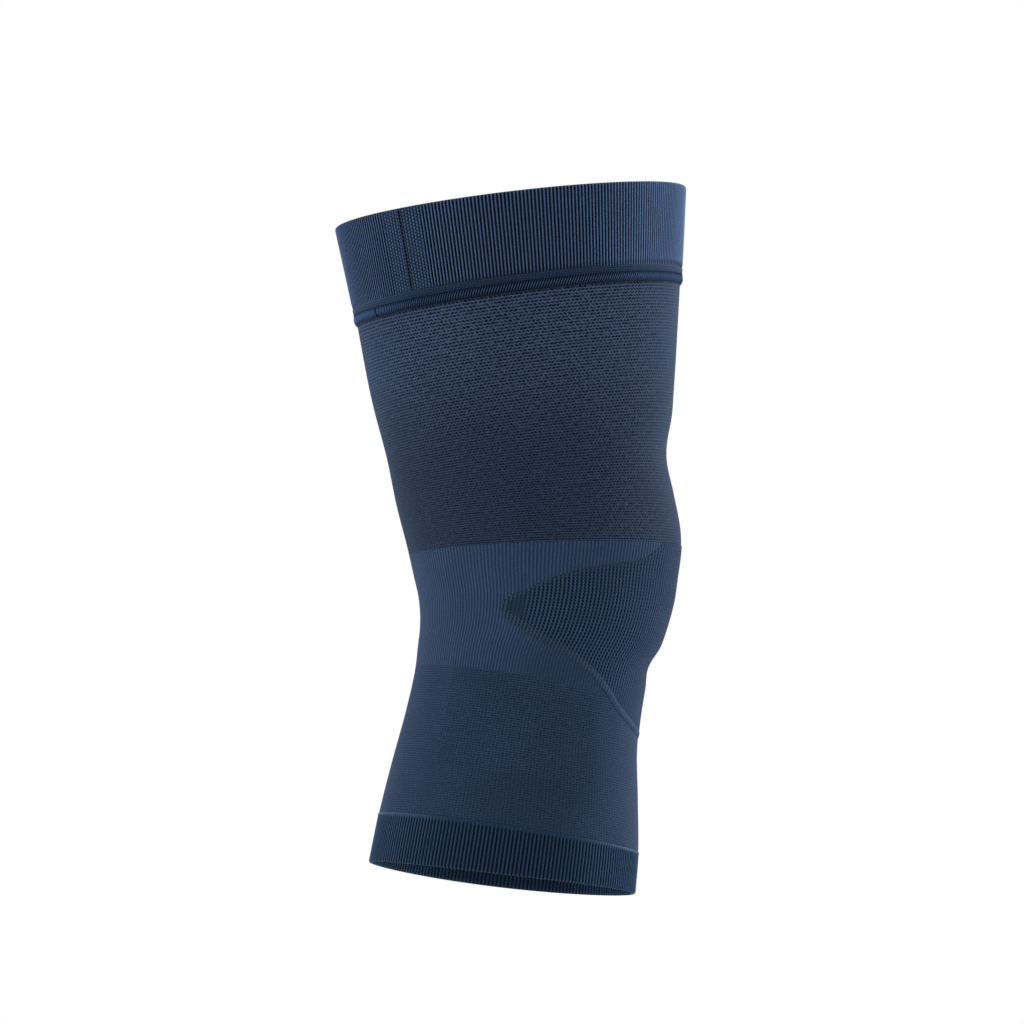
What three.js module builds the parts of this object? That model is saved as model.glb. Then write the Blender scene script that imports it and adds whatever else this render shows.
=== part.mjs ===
// A knitted knee sleeve in the form that it has on a slightly bent leg, hollow and open at both ends.
// Millimetres, +Z up along the leg. The front of the knee faces -Y. Angles are in degrees round the
// leg from the front, positive towards -X. The origin is in the middle of the knee, inside the sleeve.

import * as THREE from 'three';
import { mergeVertices } from 'three/addons/utils/BufferGeometryUtils.js';

// Length of the sleeve along the leg, and the part of it below the middle of the knee
const SLEEVE_LENGTH = 282.5;
const BELOW_KNEE = 117;
const ABOVE_KNEE = SLEEVE_LENGTH - BELOW_KNEE;

// Where the kneecap is fullest and where the leg is thinnest, from the middle of the knee
const KNEECAP_HEIGHT = 22.7;
const NECK_BELOW = 34;

// Outer size of the sleeve from front to back and from side to side
const THIGH_DEPTH = 147.6;
const THIGH_WIDTH = 142.4;
const KNEECAP_DEPTH = 111.5;
const KNEECAP_WIDTH = 106.3;

// The neck under the knee and the calf, as shares of the kneecap's depth and width
const NECK_DEPTH_SHARE = 0.866;
const NECK_WIDTH_SHARE = 0.875;
const CALF_DEPTH_SHARE = 1.008;
const CALF_WIDTH_SHARE = 1.02;
const NECK_DEPTH = KNEECAP_DEPTH * NECK_DEPTH_SHARE;
const NECK_WIDTH = KNEECAP_WIDTH * NECK_WIDTH_SHARE;
const CALF_DEPTH = KNEECAP_DEPTH * CALF_DEPTH_SHARE;
const CALF_WIDTH = KNEECAP_WIDTH * CALF_WIDTH_SHARE;

// How far the middle of the sleeve lies behind the origin, which is what bends the leg
const THIGH_SETBACK = 16;
const KNEECAP_SETBACK = 3.3;
const NECK_SETBACK = 8;
const CALF_SETBACK = 19.6;

// Thickness of the knits, and how far the doubled ones stand out beyond the single one
const WALL = 1.5;
const CUFF_RISE = 0.8;
const JOINING_RIDGE_RISE = 0.7;
const PATELLA_RISE = 0.3;
const BORDER_RISE = 0.5;
const HEM_RISE = 0.2;
const RIM_ROUNDING = 1.1;
const RIM_SHARE_OF_WALL = 0.36;

// Heights and widths of the knitted pieces
const TOP_CUFF_HEIGHT = 34.5;
const JOINING_SEAM_HEIGHT = 7;
const KNEE_ZONE_ABOVE = 20.5;
const KNEE_ZONE_BELOW = 34.5;
const BOTTOM_CUFF_HEIGHT = 19;
const HEM_SIDE_DROP = 1.2;
const CLOSING_SEAM_WIDTH = 2.2;
const BORDER_WIDTH = 3.4;
const UPPER_BORDER_WIDTH = 1.6;

// The patella panel is a kite. Its tips reach far round the sides and its lowest point is in front
const PATELLA_TIP_ANGLE = 110;
const PATELLA_TIP_BELOW = 6.5;
const PATELLA_BELOW = 51;
const KNEE_ZONE_FRONT_ANGLE = 45;
const KNEE_ZONE_LEVEL_ANGLE = 105;

const CLOSING_SEAM_ANGLE = 129.5;
const GAP = 0.3;
const FULL_TURN = 360;
const HALF_TURN = 180;

// Facets round the leg or across a piece, and rows of them down each piece
const RING_COLUMNS = 48;
const CLOSING_SEAM_COLUMNS = 2;
const KNEE_COLUMNS = 24;
const PATELLA_COLUMNS = 14;
const SHIN_COLUMNS_BEHIND = 18;
const TOP_CUFF_ROWS = 4;
const THIGH_ROWS = 8;
const BORDER_ROWS = 2;
const SHIN_ROWS = 7;
const BOTTOM_CUFF_ROWS = 3;

// Steps along the edge of the patella panel. They start small at its side tip, grow by a share of the
// distance from the tip, and stop growing at the widest one.
const FINEST_STEP = 1.8;
const STEP_GROWTH = 0.5;
const WIDEST_STEP = 8.5;

// Share of that edge on each side of the tip in which the border narrows
const BORDER_TAPER = 0.08;

// Angle by which the knee and shin panels keep clear of the corner where they meet the border
const CORNER_CLEARANCE = 1;

// The four places where the leg is measured, from the top opening to the bottom one
const THIGH = { height: ABOVE_KNEE, depth: THIGH_DEPTH, width: THIGH_WIDTH, setback: THIGH_SETBACK };
const KNEECAP = {
  height: KNEECAP_HEIGHT, depth: KNEECAP_DEPTH, width: KNEECAP_WIDTH, setback: KNEECAP_SETBACK,
};
const NECK = { height: -NECK_BELOW, depth: NECK_DEPTH, width: NECK_WIDTH, setback: NECK_SETBACK };
const CALF = { height: -BELOW_KNEE, depth: CALF_DEPTH, width: CALF_WIDTH, setback: CALF_SETBACK };

// Sections along the leg. The shares go from 0 at the first place to 1 at the second, and tilt is in
// degrees, positive where the front of the section is lifted.
const SECTIONS = [
  { from: KNEECAP, to: THIGH, height: 1, depth: 1, width: 1, setback: 1, tilt: 6.8 },
  { from: KNEECAP, to: THIGH, height: 0.77, depth: 0.76, width: 0.76, setback: 0.78, tilt: 7.1 },
  { from: KNEECAP, to: THIGH, height: 0.49, depth: 0.49, width: 0.47, setback: 0.55, tilt: 8.5 },
  { from: KNEECAP, to: THIGH, height: 0.31, depth: 0.26, width: 0.22, setback: 0.37, tilt: 7.5 },
  { from: KNEECAP, to: THIGH, height: 0.16, depth: 0.12, width: 0.04, setback: 0.24, tilt: 5.5 },
  { from: KNEECAP, to: NECK, height: 0, depth: 0, width: 0, setback: 0, tilt: 2.4 },
  { from: KNEECAP, to: NECK, height: 0.22, depth: 0.24, width: 0.19, setback: -0.11, tilt: 0 },
  { from: KNEECAP, to: NECK, height: 0.42, depth: 0.41, width: 0.43, setback: -0.28, tilt: -2 },
  { from: KNEECAP, to: NECK, height: 0.66, depth: 0.66, width: 0.76, setback: 0.02, tilt: -4.5 },
  { from: KNEECAP, to: NECK, height: 0.85, depth: 0.95, width: 0.98, setback: 0.72, tilt: -6.5 },
  { from: KNEECAP, to: NECK, height: 1, depth: 1, width: 1, setback: 1, tilt: -7.8 },
  { from: NECK, to: CALF, height: 0.25, depth: 0.12, width: 0.2, setback: 0.3, tilt: -8.5 },
  { from: NECK, to: CALF, height: 0.5, depth: 0.49, width: 0.55, setback: 0.53, tilt: -8.5 },
  { from: NECK, to: CALF, height: 0.77, depth: 0.85, width: 0.88, setback: 0.76, tilt: -8.6 },
  { from: NECK, to: CALF, height: 1, depth: 1, width: 1, setback: 1, tilt: -6.8 },
];

// Bulges and hollows of the leg under the knit. The heights and rises are shares of the size they
// follow: heights of the length above the knee, rises of the depth at the kneecap.
const FORMS = [
  { name: 'kneecap', angle: 0, height: 0.11, halfAngle: 62, halfHeight: 0.21, rise: 0.031 },
  { name: 'waist over kneecap', angle: 0, height: 0.34, halfAngle: 50, halfHeight: 0.1, rise: -0.017 },
  { name: 'near muscle hollow', angle: 76, height: 0.24, halfAngle: 26, halfHeight: 0.19, rise: -0.016 },
  { name: 'far muscle hollow', angle: -76, height: 0.24, halfAngle: 26, halfHeight: 0.19, rise: -0.016 },
  { name: 'fold under kneecap', angle: 0, height: -0.135, halfAngle: 46, halfHeight: 0.05, rise: -0.009 },
];

// Edge of the patella panel from its lowest point round one side tip to its top corner. Angles are
// shares of the tip angle. Heights are shares from the lowest point, at 0, to the tip, at 1, and on to
// the top edge of the knee zone, at 2.
const PATELLA_EDGE = [
  { angle: 0, height: 0 },
  { angle: 0.15, height: 0.04 },
  { angle: 0.32, height: 0.16 },
  { angle: 0.42, height: 0.3 },
  { angle: 0.53, height: 0.45 },
  { angle: 0.66, height: 0.58 },
  { angle: 0.8, height: 0.69 },
  { angle: 0.9, height: 0.79 },
  { angle: 0.975, height: 0.89 },
  { angle: 1, height: 1 },
  { angle: 0.97, height: 1.13 },
  { angle: 0.9, height: 1.25 },
  { angle: 0.76, height: 1.47 },
  { angle: 0.6, height: 1.62 },
  { angle: 0.4, height: 1.73 },
  { angle: 0.31, height: 1.85 },
  { angle: 0.24, height: 2 },
];

// Profile of the joining seam from its top edge to its bottom one, as shares of its height and of the
// ridge's rise. A plain course comes first, then a groove and the overlocked ridge.
const JOINING_PROFILE = [
  { down: 0, rise: 0.9 },
  { down: 0.42, rise: 0.9 },
  { down: 0.52, rise: 0.5 },
  { down: 0.62, rise: 1.25 },
  { down: 0.86, rise: 1.25 },
  { down: 1, rise: 0.5 },
];

const { lerp, degToRad, radToDeg, smoothstep, euclideanModulo } = THREE.MathUtils;

// Sections with their real lengths, lowest first
const sections = SECTIONS.map(({ from, to, height, depth, width, setback, tilt }) => ({
  height: lerp(from.height, to.height, height),
  depth: lerp(from.depth, to.depth, depth),
  width: lerp(from.width, to.width, width),
  setback: lerp(from.setback, to.setback, setback),
  tilt,
})).sort((one, other) => one.height - other.height);

/** Slope of one value of the sections at section index, from its neighbours on both sides. */
function slopeAt(index, value) {
  const before = sections[Math.max(index - 1, 0)];
  const after = sections[Math.min(index + 1, sections.length - 1)];
  const here = sections[index];
  const rise = (one, other) => (other[value] - one[value]) / (other.height - one.height);
  if (before === here) return rise(here, after);
  if (after === here) return rise(before, here);
  const lower = here.height - before.height;
  const upper = after.height - here.height;
  return (rise(before, here) * upper + rise(here, after) * lower) / (lower + upper);
}

/** One value of the sections at any height, on a smooth curve through all of them. */
function sectionValue(value, height) {
  let index = 0;
  while (index < sections.length - 2 && height > sections[index + 1].height) index += 1;
  const low = sections[index];
  const high = sections[index + 1];
  const length = high.height - low.height;
  const t = (height - low.height) / length;
  const fromLow = low[value] * (1 + 2 * t) * (1 - t) ** 2;
  const fromHigh = high[value] * t * t * (3 - 2 * t);
  const bend = slopeAt(index, value) * (1 - t) - slopeAt(index + 1, value) * t;
  return fromLow + fromHigh + bend * length * t * (1 - t);
}

/** How far the bulges and hollows lift the surface at one angle and height. */
function formRise(angle, height) {
  let total = 0;
  for (const form of FORMS) {
    const turn = Math.abs(euclideanModulo(angle - form.angle + HALF_TURN, FULL_TURN) - HALF_TURN);
    const aside = turn / form.halfAngle;
    const away = (height / ABOVE_KNEE - form.height) / form.halfHeight;
    const distance = Math.min(Math.hypot(aside, away), 1);
    total += form.rise * KNEECAP_DEPTH * Math.cos(distance * Math.PI / 2) ** 2;
  }
  return total;
}

/** The point at one angle and height, outward of the plain outer surface of the single knit. */
function legPoint({ angle, height }, outward) {
  const lift = outward + formRise(angle, height);
  const halfDepth = sectionValue('depth', height) / 2 + lift;
  const halfWidth = sectionValue('width', height) / 2 + lift;
  const turn = degToRad(angle);
  const tilt = degToRad(sectionValue('tilt', height));
  const forward = halfDepth * Math.cos(turn);
  return new THREE.Vector3(
    -halfWidth * Math.sin(turn),
    sectionValue('setback', height) - forward * Math.cos(tilt),
    height + forward * Math.sin(tilt),
  );
}

/** The angle that a width takes up round the leg at one height. */
function angleOfWidth(width, height) {
  return radToDeg(width / (sectionValue('width', height) / 2));
}

/** Evenly spaced shares from 0 to 1. */
function evenSteps(count) {
  return Array.from({ length: count + 1 }, (_, index) => index / count);
}

/**
 * A closed wall of knit. place(across, along) gives the angle and height of a spot and how far its outer
 * and inner faces stand out. A ring closes on itself, and any other piece has two side edges.
 */
function knitWall({ across, along, ring = false, place }) {
  const positions = [];
  const columns = ring ? across.length - 1 : across.length;
  for (const side of ['outer', 'inner']) {
    for (const down of along) {
      for (const share of across.slice(0, columns)) {
        const spot = place(share, down);
        positions.push(...legPoint(spot, spot[side]).toArray());
      }
    }
  }
  const innerStart = columns * along.length;
  const outer = (column, row) => row * columns + (column % columns);
  const inner = (column, row) => innerStart + outer(column, row);
  const faces = [];
  const quad = (a, b, c, d) => faces.push(a, b, c, a, c, d);
  const endRow = along.length - 1;
  for (let column = 0; column < across.length - 1; column += 1) {
    const next = column + 1;
    for (let row = 0; row < endRow; row += 1) {
      const below = row + 1;
      quad(outer(column, row), outer(next, row), outer(next, below), outer(column, below));
      quad(inner(column, row), inner(column, below), inner(next, below), inner(next, row));
    }
    quad(inner(column, 0), inner(next, 0), outer(next, 0), outer(column, 0));
    quad(outer(column, endRow), outer(next, endRow), inner(next, endRow), inner(column, endRow));
  }
  if (!ring) {
    const side = columns - 1;
    for (let row = 0; row < endRow; row += 1) {
      const below = row + 1;
      quad(inner(0, row), outer(0, row), outer(0, below), inner(0, below));
      quad(outer(side, row), inner(side, row), inner(side, below), outer(side, below));
    }
  }
  return closedGeometry(positions, faces);
}

/** Points that coincide are joined, and faces that shrink to nothing there are left out. */
function closedGeometry(positions, faces) {
  const loose = new THREE.BufferGeometry();
  loose.setAttribute('position', new THREE.Float32BufferAttribute(positions, 3));
  loose.setIndex(faces);
  const geometry = mergeVertices(loose);
  const joined = Array.from(geometry.index.array);
  const kept = [];
  for (let start = 0; start < joined.length; start += 3) {
    const [a, b, c] = joined.slice(start, start + 3);
    if (a !== b && b !== c && c !== a) kept.push(a, b, c);
  }
  geometry.setIndex(kept);
  geometry.computeVertexNormals();
  return geometry;
}

/** Shares along a piece with a rounded rim at its start, its end, or neither. */
function stepsWithRim(count, length, rimAtStart, rimAtEnd) {
  const rim = RIM_ROUNDING / length;
  const bend = rim / 3;
  const start = rimAtStart ? [0, bend, rim] : [0];
  const end = rimAtEnd ? [1 - rim, 1 - bend, 1] : [1];
  const low = start[start.length - 1];
  const high = end[0];
  const middle = evenSteps(count).slice(1, -1).map((share) => lerp(low, high, share));
  return [...start, ...middle, ...end];
}

/** How far a rounded rim draws both faces in towards the middle of the wall at a distance from its edge. */
function rimInset(distance, thickness) {
  const reach = Math.min(distance / RIM_ROUNDING, 1);
  return (1 - Math.sqrt(reach * (2 - reach))) * thickness * RIM_SHARE_OF_WALL;
}

const cuffBottom = ABOVE_KNEE - TOP_CUFF_HEIGHT;
const thighTop = cuffBottom - JOINING_SEAM_HEIGHT;
const hemTop = -BELOW_KNEE + BOTTOM_CUFF_HEIGHT;
const roundTheLeg = evenSteps(RING_COLUMNS);

/** A band of single knit round the leg between two heights, closed into a ring. */
function ringBand(top, bottom, along, outer) {
  const place = (share, down) => ({
    angle: share * FULL_TURN,
    height: lerp(top, bottom, down),
    outer: outer(down),
    inner: -WALL,
  });
  return knitWall({ across: roundTheLeg, along, ring: true, place });
}

/** Outer and inner faces of the doubled cuff, with the fold at its top edge. */
function cuffFaces(down) {
  const inset = rimInset(down * TOP_CUFF_HEIGHT, WALL + CUFF_RISE);
  return { outer: CUFF_RISE - inset, inner: -WALL + inset };
}

const cuffSteps = stepsWithRim(TOP_CUFF_ROWS, TOP_CUFF_HEIGHT, true, false);
const cuffLow = cuffBottom + GAP / 2;

/** The ribbed top cuff is a doubled band whose two ends meet at the closing seam. */
function topCuff() {
  const place = (share, down) => {
    const height = lerp(ABOVE_KNEE, cuffLow, down);
    const slot = angleOfWidth(CLOSING_SEAM_WIDTH / 2 + GAP, height);
    const angle = CLOSING_SEAM_ANGLE + lerp(slot, FULL_TURN - slot, share);
    return { angle, height, ...cuffFaces(down) };
  };
  return knitWall({ across: roundTheLeg, along: cuffSteps, place });
}

/** The closing seam fills the slot between the ends of the cuff and lies a little lower than them. */
function cuffClosingSeam() {
  const seamDip = CUFF_RISE / 2;
  const place = (share, down) => {
    const height = lerp(ABOVE_KNEE, cuffLow, down);
    const half = angleOfWidth(CLOSING_SEAM_WIDTH / 2, height);
    const { outer, inner } = cuffFaces(down);
    return { angle: CLOSING_SEAM_ANGLE + lerp(-half, half, share), height, outer: outer - seamDip, inner };
  };
  return knitWall({ across: evenSteps(CLOSING_SEAM_COLUMNS), along: cuffSteps, place });
}

/** The overlocked seam that joins the cuff to the thigh panel. */
function cuffJoiningSeam() {
  const along = JOINING_PROFILE.map(({ down }) => down);
  const outer = (down) => JOINING_PROFILE.find((row) => row.down === down).rise * JOINING_RIDGE_RISE;
  return ringBand(cuffBottom - GAP / 2, thighTop + GAP / 2, along, outer);
}

/** The thigh panel, in mesh knit. */
function thighPanel() {
  return ringBand(thighTop - GAP / 2, KNEE_ZONE_ABOVE + GAP / 2, evenSteps(THIGH_ROWS), () => 0);
}

// The patella panel's edge is laid out flat: x is the length round the knee and y is the height
const kneeRadius = sectionValue('width', 0) / 2;
const flatLength = (angle) => degToRad(angle) * kneeRadius;
const flatAngle = (length) => radToDeg(length / kneeRadius);

/** The height that a share in the edge table stands for. */
function edgeHeight(share) {
  if (share <= 1) return lerp(-PATELLA_BELOW, -PATELLA_TIP_BELOW, share);
  return lerp(-PATELLA_TIP_BELOW, KNEE_ZONE_ABOVE - GAP / 2, share - 1);
}

const patellaEdge = new THREE.SplineCurve(PATELLA_EDGE.map(({ angle, height }) => (
  new THREE.Vector2(flatLength(angle * PATELLA_TIP_ANGLE), edgeHeight(height))
)));

// The tip's place along the edge
const tipRow = PATELLA_EDGE.findIndex(({ angle }) => angle === 1);
const edgeLengths = patellaEdge.getLengths(PATELLA_EDGE.length - 1);
const edgeLength = edgeLengths[PATELLA_EDGE.length - 1];
const tipShare = edgeLengths[tipRow] / edgeLength;

/** Distances from the tip out to a length, with steps that grow up to the widest one. */
function stepsFromTip(length) {
  const distances = [0];
  while (distances[distances.length - 1] < length) {
    const last = distances[distances.length - 1];
    distances.push(last + Math.min(FINEST_STEP + STEP_GROWTH * last, WIDEST_STEP));
  }
  const stretch = length / distances[distances.length - 1];
  return distances.map((distance) => distance * stretch);
}

// Shares of the edge at the steps, with both ends of it exact
const stepsBeforeTip = stepsFromTip(tipShare * edgeLength).slice(0, -1).reverse();
const stepsAfterTip = stepsFromTip((1 - tipShare) * edgeLength).slice(1, -1);
const edgeSteps = [
  0,
  ...stepsBeforeTip.map((distance) => tipShare - distance / edgeLength),
  ...stepsAfterTip.map((distance) => tipShare + distance / edgeLength),
  1,
];

/** The edge moved outwards by a distance that may differ along it, as spots from low to high. */
function edgeLine(outwardAt) {
  return edgeSteps.map((share) => {
    const point = patellaEdge.getPointAt(share);
    const tangent = patellaEdge.getTangentAt(share);
    const normal = new THREE.Vector2(tangent.y, -tangent.x);
    if (share === 0) normal.set(0, -1);
    if (share === 1) normal.set(1, 0);
    const moved = point.addScaledVector(normal, outwardAt(share));
    return { angle: flatAngle(moved.x), height: moved.y };
  });
}

/** The border is wide along the lower edge, narrows round the tip and stays narrow along the upper edge. */
function borderWidth(share) {
  const narrowed = smoothstep(share, tipShare - BORDER_TAPER, tipShare + BORDER_TAPER);
  return lerp(BORDER_WIDTH, UPPER_BORDER_WIDTH, narrowed);
}

const borderOutside = edgeLine(() => 0);
const borderInside = edgeLine((share) => -borderWidth(share));
const panelEdge = edgeLine((share) => -borderWidth(share) - GAP);
const zoneEdge = edgeLine(() => GAP);

/** Height of a line of spots at one angle on its lower stretch, which runs out to the tip. */
function lineHeight(line, angle) {
  const next = Math.max(line.findIndex((spot) => spot.angle >= angle), 1);
  const before = line[next - 1];
  const after = line[next];
  const share = (angle - before.angle) / (after.angle - before.angle);
  return lerp(before.height, after.height, share);
}

const meetingHeight = lineHeight(zoneEdge, KNEE_ZONE_FRONT_ANGLE);

/** The lower edge of the knee zone is level round the back and runs down to the border in front. */
function kneeZoneBottom(angle) {
  const level = smoothstep(Math.abs(angle), KNEE_ZONE_FRONT_ANGLE, KNEE_ZONE_LEVEL_ANGLE);
  return lerp(meetingHeight, -KNEE_ZONE_BELOW, level);
}

/** The knee panel, in rib knit, wraps round the back from one edge of the border to the other. */
function kneePanel() {
  const top = KNEE_ZONE_ABOVE - GAP / 2;
  const bottom = (angle) => kneeZoneBottom(angle) + GAP / 2;
  const above = zoneEdge.filter((spot) => spot.height > bottom(spot.angle)).reverse();
  const steps = above.length;
  const front = (row) => {
    if (row === 0) return { angle: above[0].angle, share: 0 };
    if (row === steps) return { angle: KNEE_ZONE_FRONT_ANGLE + CORNER_CLEARANCE, share: 1 };
    const { angle, height } = above[row];
    return { angle, share: (height - top) / (bottom(angle) - top) };
  };
  const place = (share, down) => {
    const start = front(Math.round(down * steps));
    const aroundTheBack = share < 0.5 ? 2 * share : 2 - 2 * share;
    const angle = lerp(start.angle, HALF_TURN, aroundTheBack);
    const fall = lerp(start.share, down, smoothstep(aroundTheBack, 0, 1));
    return {
      angle: share < 0.5 ? angle : FULL_TURN - angle,
      height: lerp(top, bottom(angle), fall),
      outer: 0,
      inner: -WALL,
    };
  };
  return knitWall({ across: evenSteps(KNEE_COLUMNS), along: evenSteps(steps), place });
}

/** The patella panel, in open rib knit, fills the kite inside the border. */
function patellaPanel() {
  const rows = panelEdge.map((spot) => ({ ...spot, angle: Math.max(spot.angle, 0) })).reverse();
  const place = (share, down) => {
    const { angle, height } = rows[Math.round(down * (rows.length - 1))];
    return { angle: lerp(-angle, angle, share), height, outer: PATELLA_RISE, inner: -WALL };
  };
  return knitWall({ across: evenSteps(PATELLA_COLUMNS), along: evenSteps(rows.length - 1), place });
}

/** The raised border runs from one top corner of the kite down round its tips to the other. */
function patellaBorder() {
  const whole = (line) => [
    ...line.slice(1).reverse().map((spot) => ({ ...spot, angle: -spot.angle })),
    ...line,
  ];
  const outside = whole(borderOutside);
  const inside = whole(borderInside);
  const last = outside.length - 1;
  const place = (share, down) => {
    const index = Math.round(share * last);
    const crown = Math.sin(Math.PI * down) * BORDER_RISE;
    return {
      angle: lerp(inside[index].angle, outside[index].angle, down),
      height: lerp(inside[index].height, outside[index].height, down),
      outer: PATELLA_RISE / 2 + crown,
      inner: -WALL,
    };
  };
  return knitWall({ across: evenSteps(last), along: evenSteps(BORDER_ROWS), place });
}

/** Angles round the shin panel: the border's own spots in front, and even steps round the back. */
function shinAngles() {
  const lastInFront = KNEE_ZONE_FRONT_ANGLE - CORNER_CLEARANCE;
  const inFront = zoneEdge.slice(0, zoneEdge.findIndex(({ angle }) => angle > lastInFront))
    .map(({ angle }) => angle);
  const behind = evenSteps(SHIN_COLUMNS_BEHIND)
    .map((share) => lerp(KNEE_ZONE_FRONT_ANGLE, HALF_TURN, share));
  const half = [...inFront, ...behind];
  return [...half, ...half.slice(0, -1).reverse().map((angle) => FULL_TURN - angle)];
}

/** The shin panel, in fine knit, whose top edge follows the knee zone and the point of the kite. */
function shinPanel() {
  const place = (share, down) => {
    const angle = share * FULL_TURN;
    const fromFront = Math.min(angle, FULL_TURN - angle);
    const inFront = fromFront <= KNEE_ZONE_FRONT_ANGLE;
    const top = inFront ? lineHeight(zoneEdge, fromFront) : kneeZoneBottom(fromFront) - GAP / 2;
    return { angle, height: lerp(top, hemTop + GAP / 2, down), outer: 0, inner: -WALL };
  };
  const across = shinAngles().map((angle) => angle / FULL_TURN);
  return knitWall({ across, along: evenSteps(SHIN_ROWS), ring: true, place });
}

/** The ribbed bottom cuff, with a rounded lower edge that hangs a little lower at the sides. */
function bottomCuff() {
  const place = (share, down) => {
    const angle = share * FULL_TURN;
    const edge = -BELOW_KNEE - HEM_SIDE_DROP * Math.sin(degToRad(angle)) ** 2;
    const inset = rimInset((1 - down) * BOTTOM_CUFF_HEIGHT, WALL + HEM_RISE);
    return {
      angle,
      height: lerp(hemTop - GAP / 2, edge, down),
      outer: HEM_RISE - inset,
      inner: -WALL + inset,
    };
  };
  const along = stepsWithRim(BOTTOM_CUFF_ROWS, BOTTOM_CUFF_HEIGHT, false, true);
  return knitWall({ across: roundTheLeg, along, ring: true, place });
}

// Each piece with the colour and the finish of its yarn
const PIECES = [
  { name: 'top_cuff', geometry: topCuff(), color: 0x2b3a52, roughness: 0.85 },
  { name: 'cuff_closing_seam', geometry: cuffClosingSeam(), color: 0x242c3c, roughness: 0.9 },
  { name: 'cuff_joining_seam', geometry: cuffJoiningSeam(), color: 0x2c3950, roughness: 0.85 },
  { name: 'thigh_panel', geometry: thighPanel(), color: 0x2c3c53, roughness: 0.9 },
  { name: 'knee_panel', geometry: kneePanel(), color: 0x33455f, roughness: 0.85 },
  { name: 'patella_panel', geometry: patellaPanel(), color: 0x273549, roughness: 0.9 },
  { name: 'patella_border', geometry: patellaBorder(), color: 0x2a3a50, roughness: 0.9 },
  { name: 'shin_panel', geometry: shinPanel(), color: 0x2b3a52, roughness: 0.85 },
  { name: 'bottom_cuff', geometry: bottomCuff(), color: 0x223047, roughness: 0.85 },
];

const kneeSleeve = new THREE.Group();
kneeSleeve.name = 'knee_sleeve';
for (const { name, geometry, color, roughness } of PIECES) {
  const material = new THREE.MeshStandardMaterial({ color, roughness, metalness: 0 });
  const mesh = new THREE.Mesh(geometry, material);
  mesh.name = name;
  kneeSleeve.add(mesh);
}

export default kneeSleeve;
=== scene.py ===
"""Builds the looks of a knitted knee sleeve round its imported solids, as an add-on run as a script."""

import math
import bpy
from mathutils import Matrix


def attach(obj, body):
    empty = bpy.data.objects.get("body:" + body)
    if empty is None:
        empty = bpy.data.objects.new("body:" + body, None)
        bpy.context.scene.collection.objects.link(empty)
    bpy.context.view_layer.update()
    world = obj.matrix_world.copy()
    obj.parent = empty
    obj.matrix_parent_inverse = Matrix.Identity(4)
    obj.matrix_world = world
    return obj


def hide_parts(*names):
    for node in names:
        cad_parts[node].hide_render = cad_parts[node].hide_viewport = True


bl_info = {
    "name": "Knitted Knee Sleeve",
    "version": (1, 0, 0),
    "blender": (4, 5, 0),
    "location": "3D View > Sidebar > Knee Sleeve",
    "description": "Builds a knitted knee sleeve with ribbed cuffs and a kite-shaped patella panel",
    "category": "Object",
}

from collections import namedtuple
from functools import partial

import bmesh
import bpy
import numpy as np
from mathutils import Matrix, Vector

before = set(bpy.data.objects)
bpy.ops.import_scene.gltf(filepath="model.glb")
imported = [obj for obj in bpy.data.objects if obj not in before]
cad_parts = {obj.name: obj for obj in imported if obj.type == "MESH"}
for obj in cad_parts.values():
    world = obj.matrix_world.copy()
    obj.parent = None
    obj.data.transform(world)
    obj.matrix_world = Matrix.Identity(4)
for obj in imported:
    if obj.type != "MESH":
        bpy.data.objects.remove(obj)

MM = 0.001
FULL_TURN = 360.0
HALF_TURN = 180.0
KNIT_UV = "stitches"
TONE = "tone"
CONTRAST = "contrast"


# Sizes and colours

def length(name, description, millimetres):
    """A length that shows in the scene's units."""
    return bpy.props.FloatProperty(
        name=name, description=description, default=millimetres * MM, min=0, unit="LENGTH", precision=4
    )


def linear(code):
    """A colour written as sRGB hex, turned to linear light."""
    values = [int(code[i:i + 2], 16) / 255 for i in (1, 3, 5)]
    return tuple(v / 12.92 if v <= 0.04045 else ((v + 0.055) / 1.055) ** 2.4 for v in values)


def colour(name, description, code):
    """A colour of yarn, with its default as sRGB hex."""
    return bpy.props.FloatVectorProperty(
        name=name, description=description, default=linear(code), min=0, max=1, size=3, subtype="COLOR"
    )


class SleeveSizes(bpy.types.PropertyGroup):
    """Lengths of the sleeve's pieces, measured along and across the leg."""

    wall: length("Wall", "Thickness of the single knit", 1.5)
    cuff_height: length("Cuff height", "Height of the ribbed top cuff", 34.5)
    cuff_rise: length("Cuff rise", "How far the doubled cuff stands out beyond the tube", 0.8)
    joining_height: length("Joining seam height", "Height of the strip that joins cuff and tube", 7)
    joining_rise: length("Joining seam rise", "How far the overlocked ridge stands out", 0.7)
    closing_width: length("Closing seam width", "Width of the seam that closes the cuff", 2.2)
    hem_height: length("Bottom cuff height", "Height of the ribbed bottom cuff", 19)
    hem_rise: length("Bottom cuff rise", "How far the bottom cuff stands out beyond the tube", 0.2)
    border_width: length("Border width", "Width of the patella border along its lower edge", 3.4)
    upper_border_width: length("Upper border width", "Width of the border along its upper edge", 1.6)
    border_rise: length("Border rise", "Height of the border's crown", 0.5)
    rib_depth: length("Rib depth", "Depth of the grooves between the ribs of the cuffs", 0.75)


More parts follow.
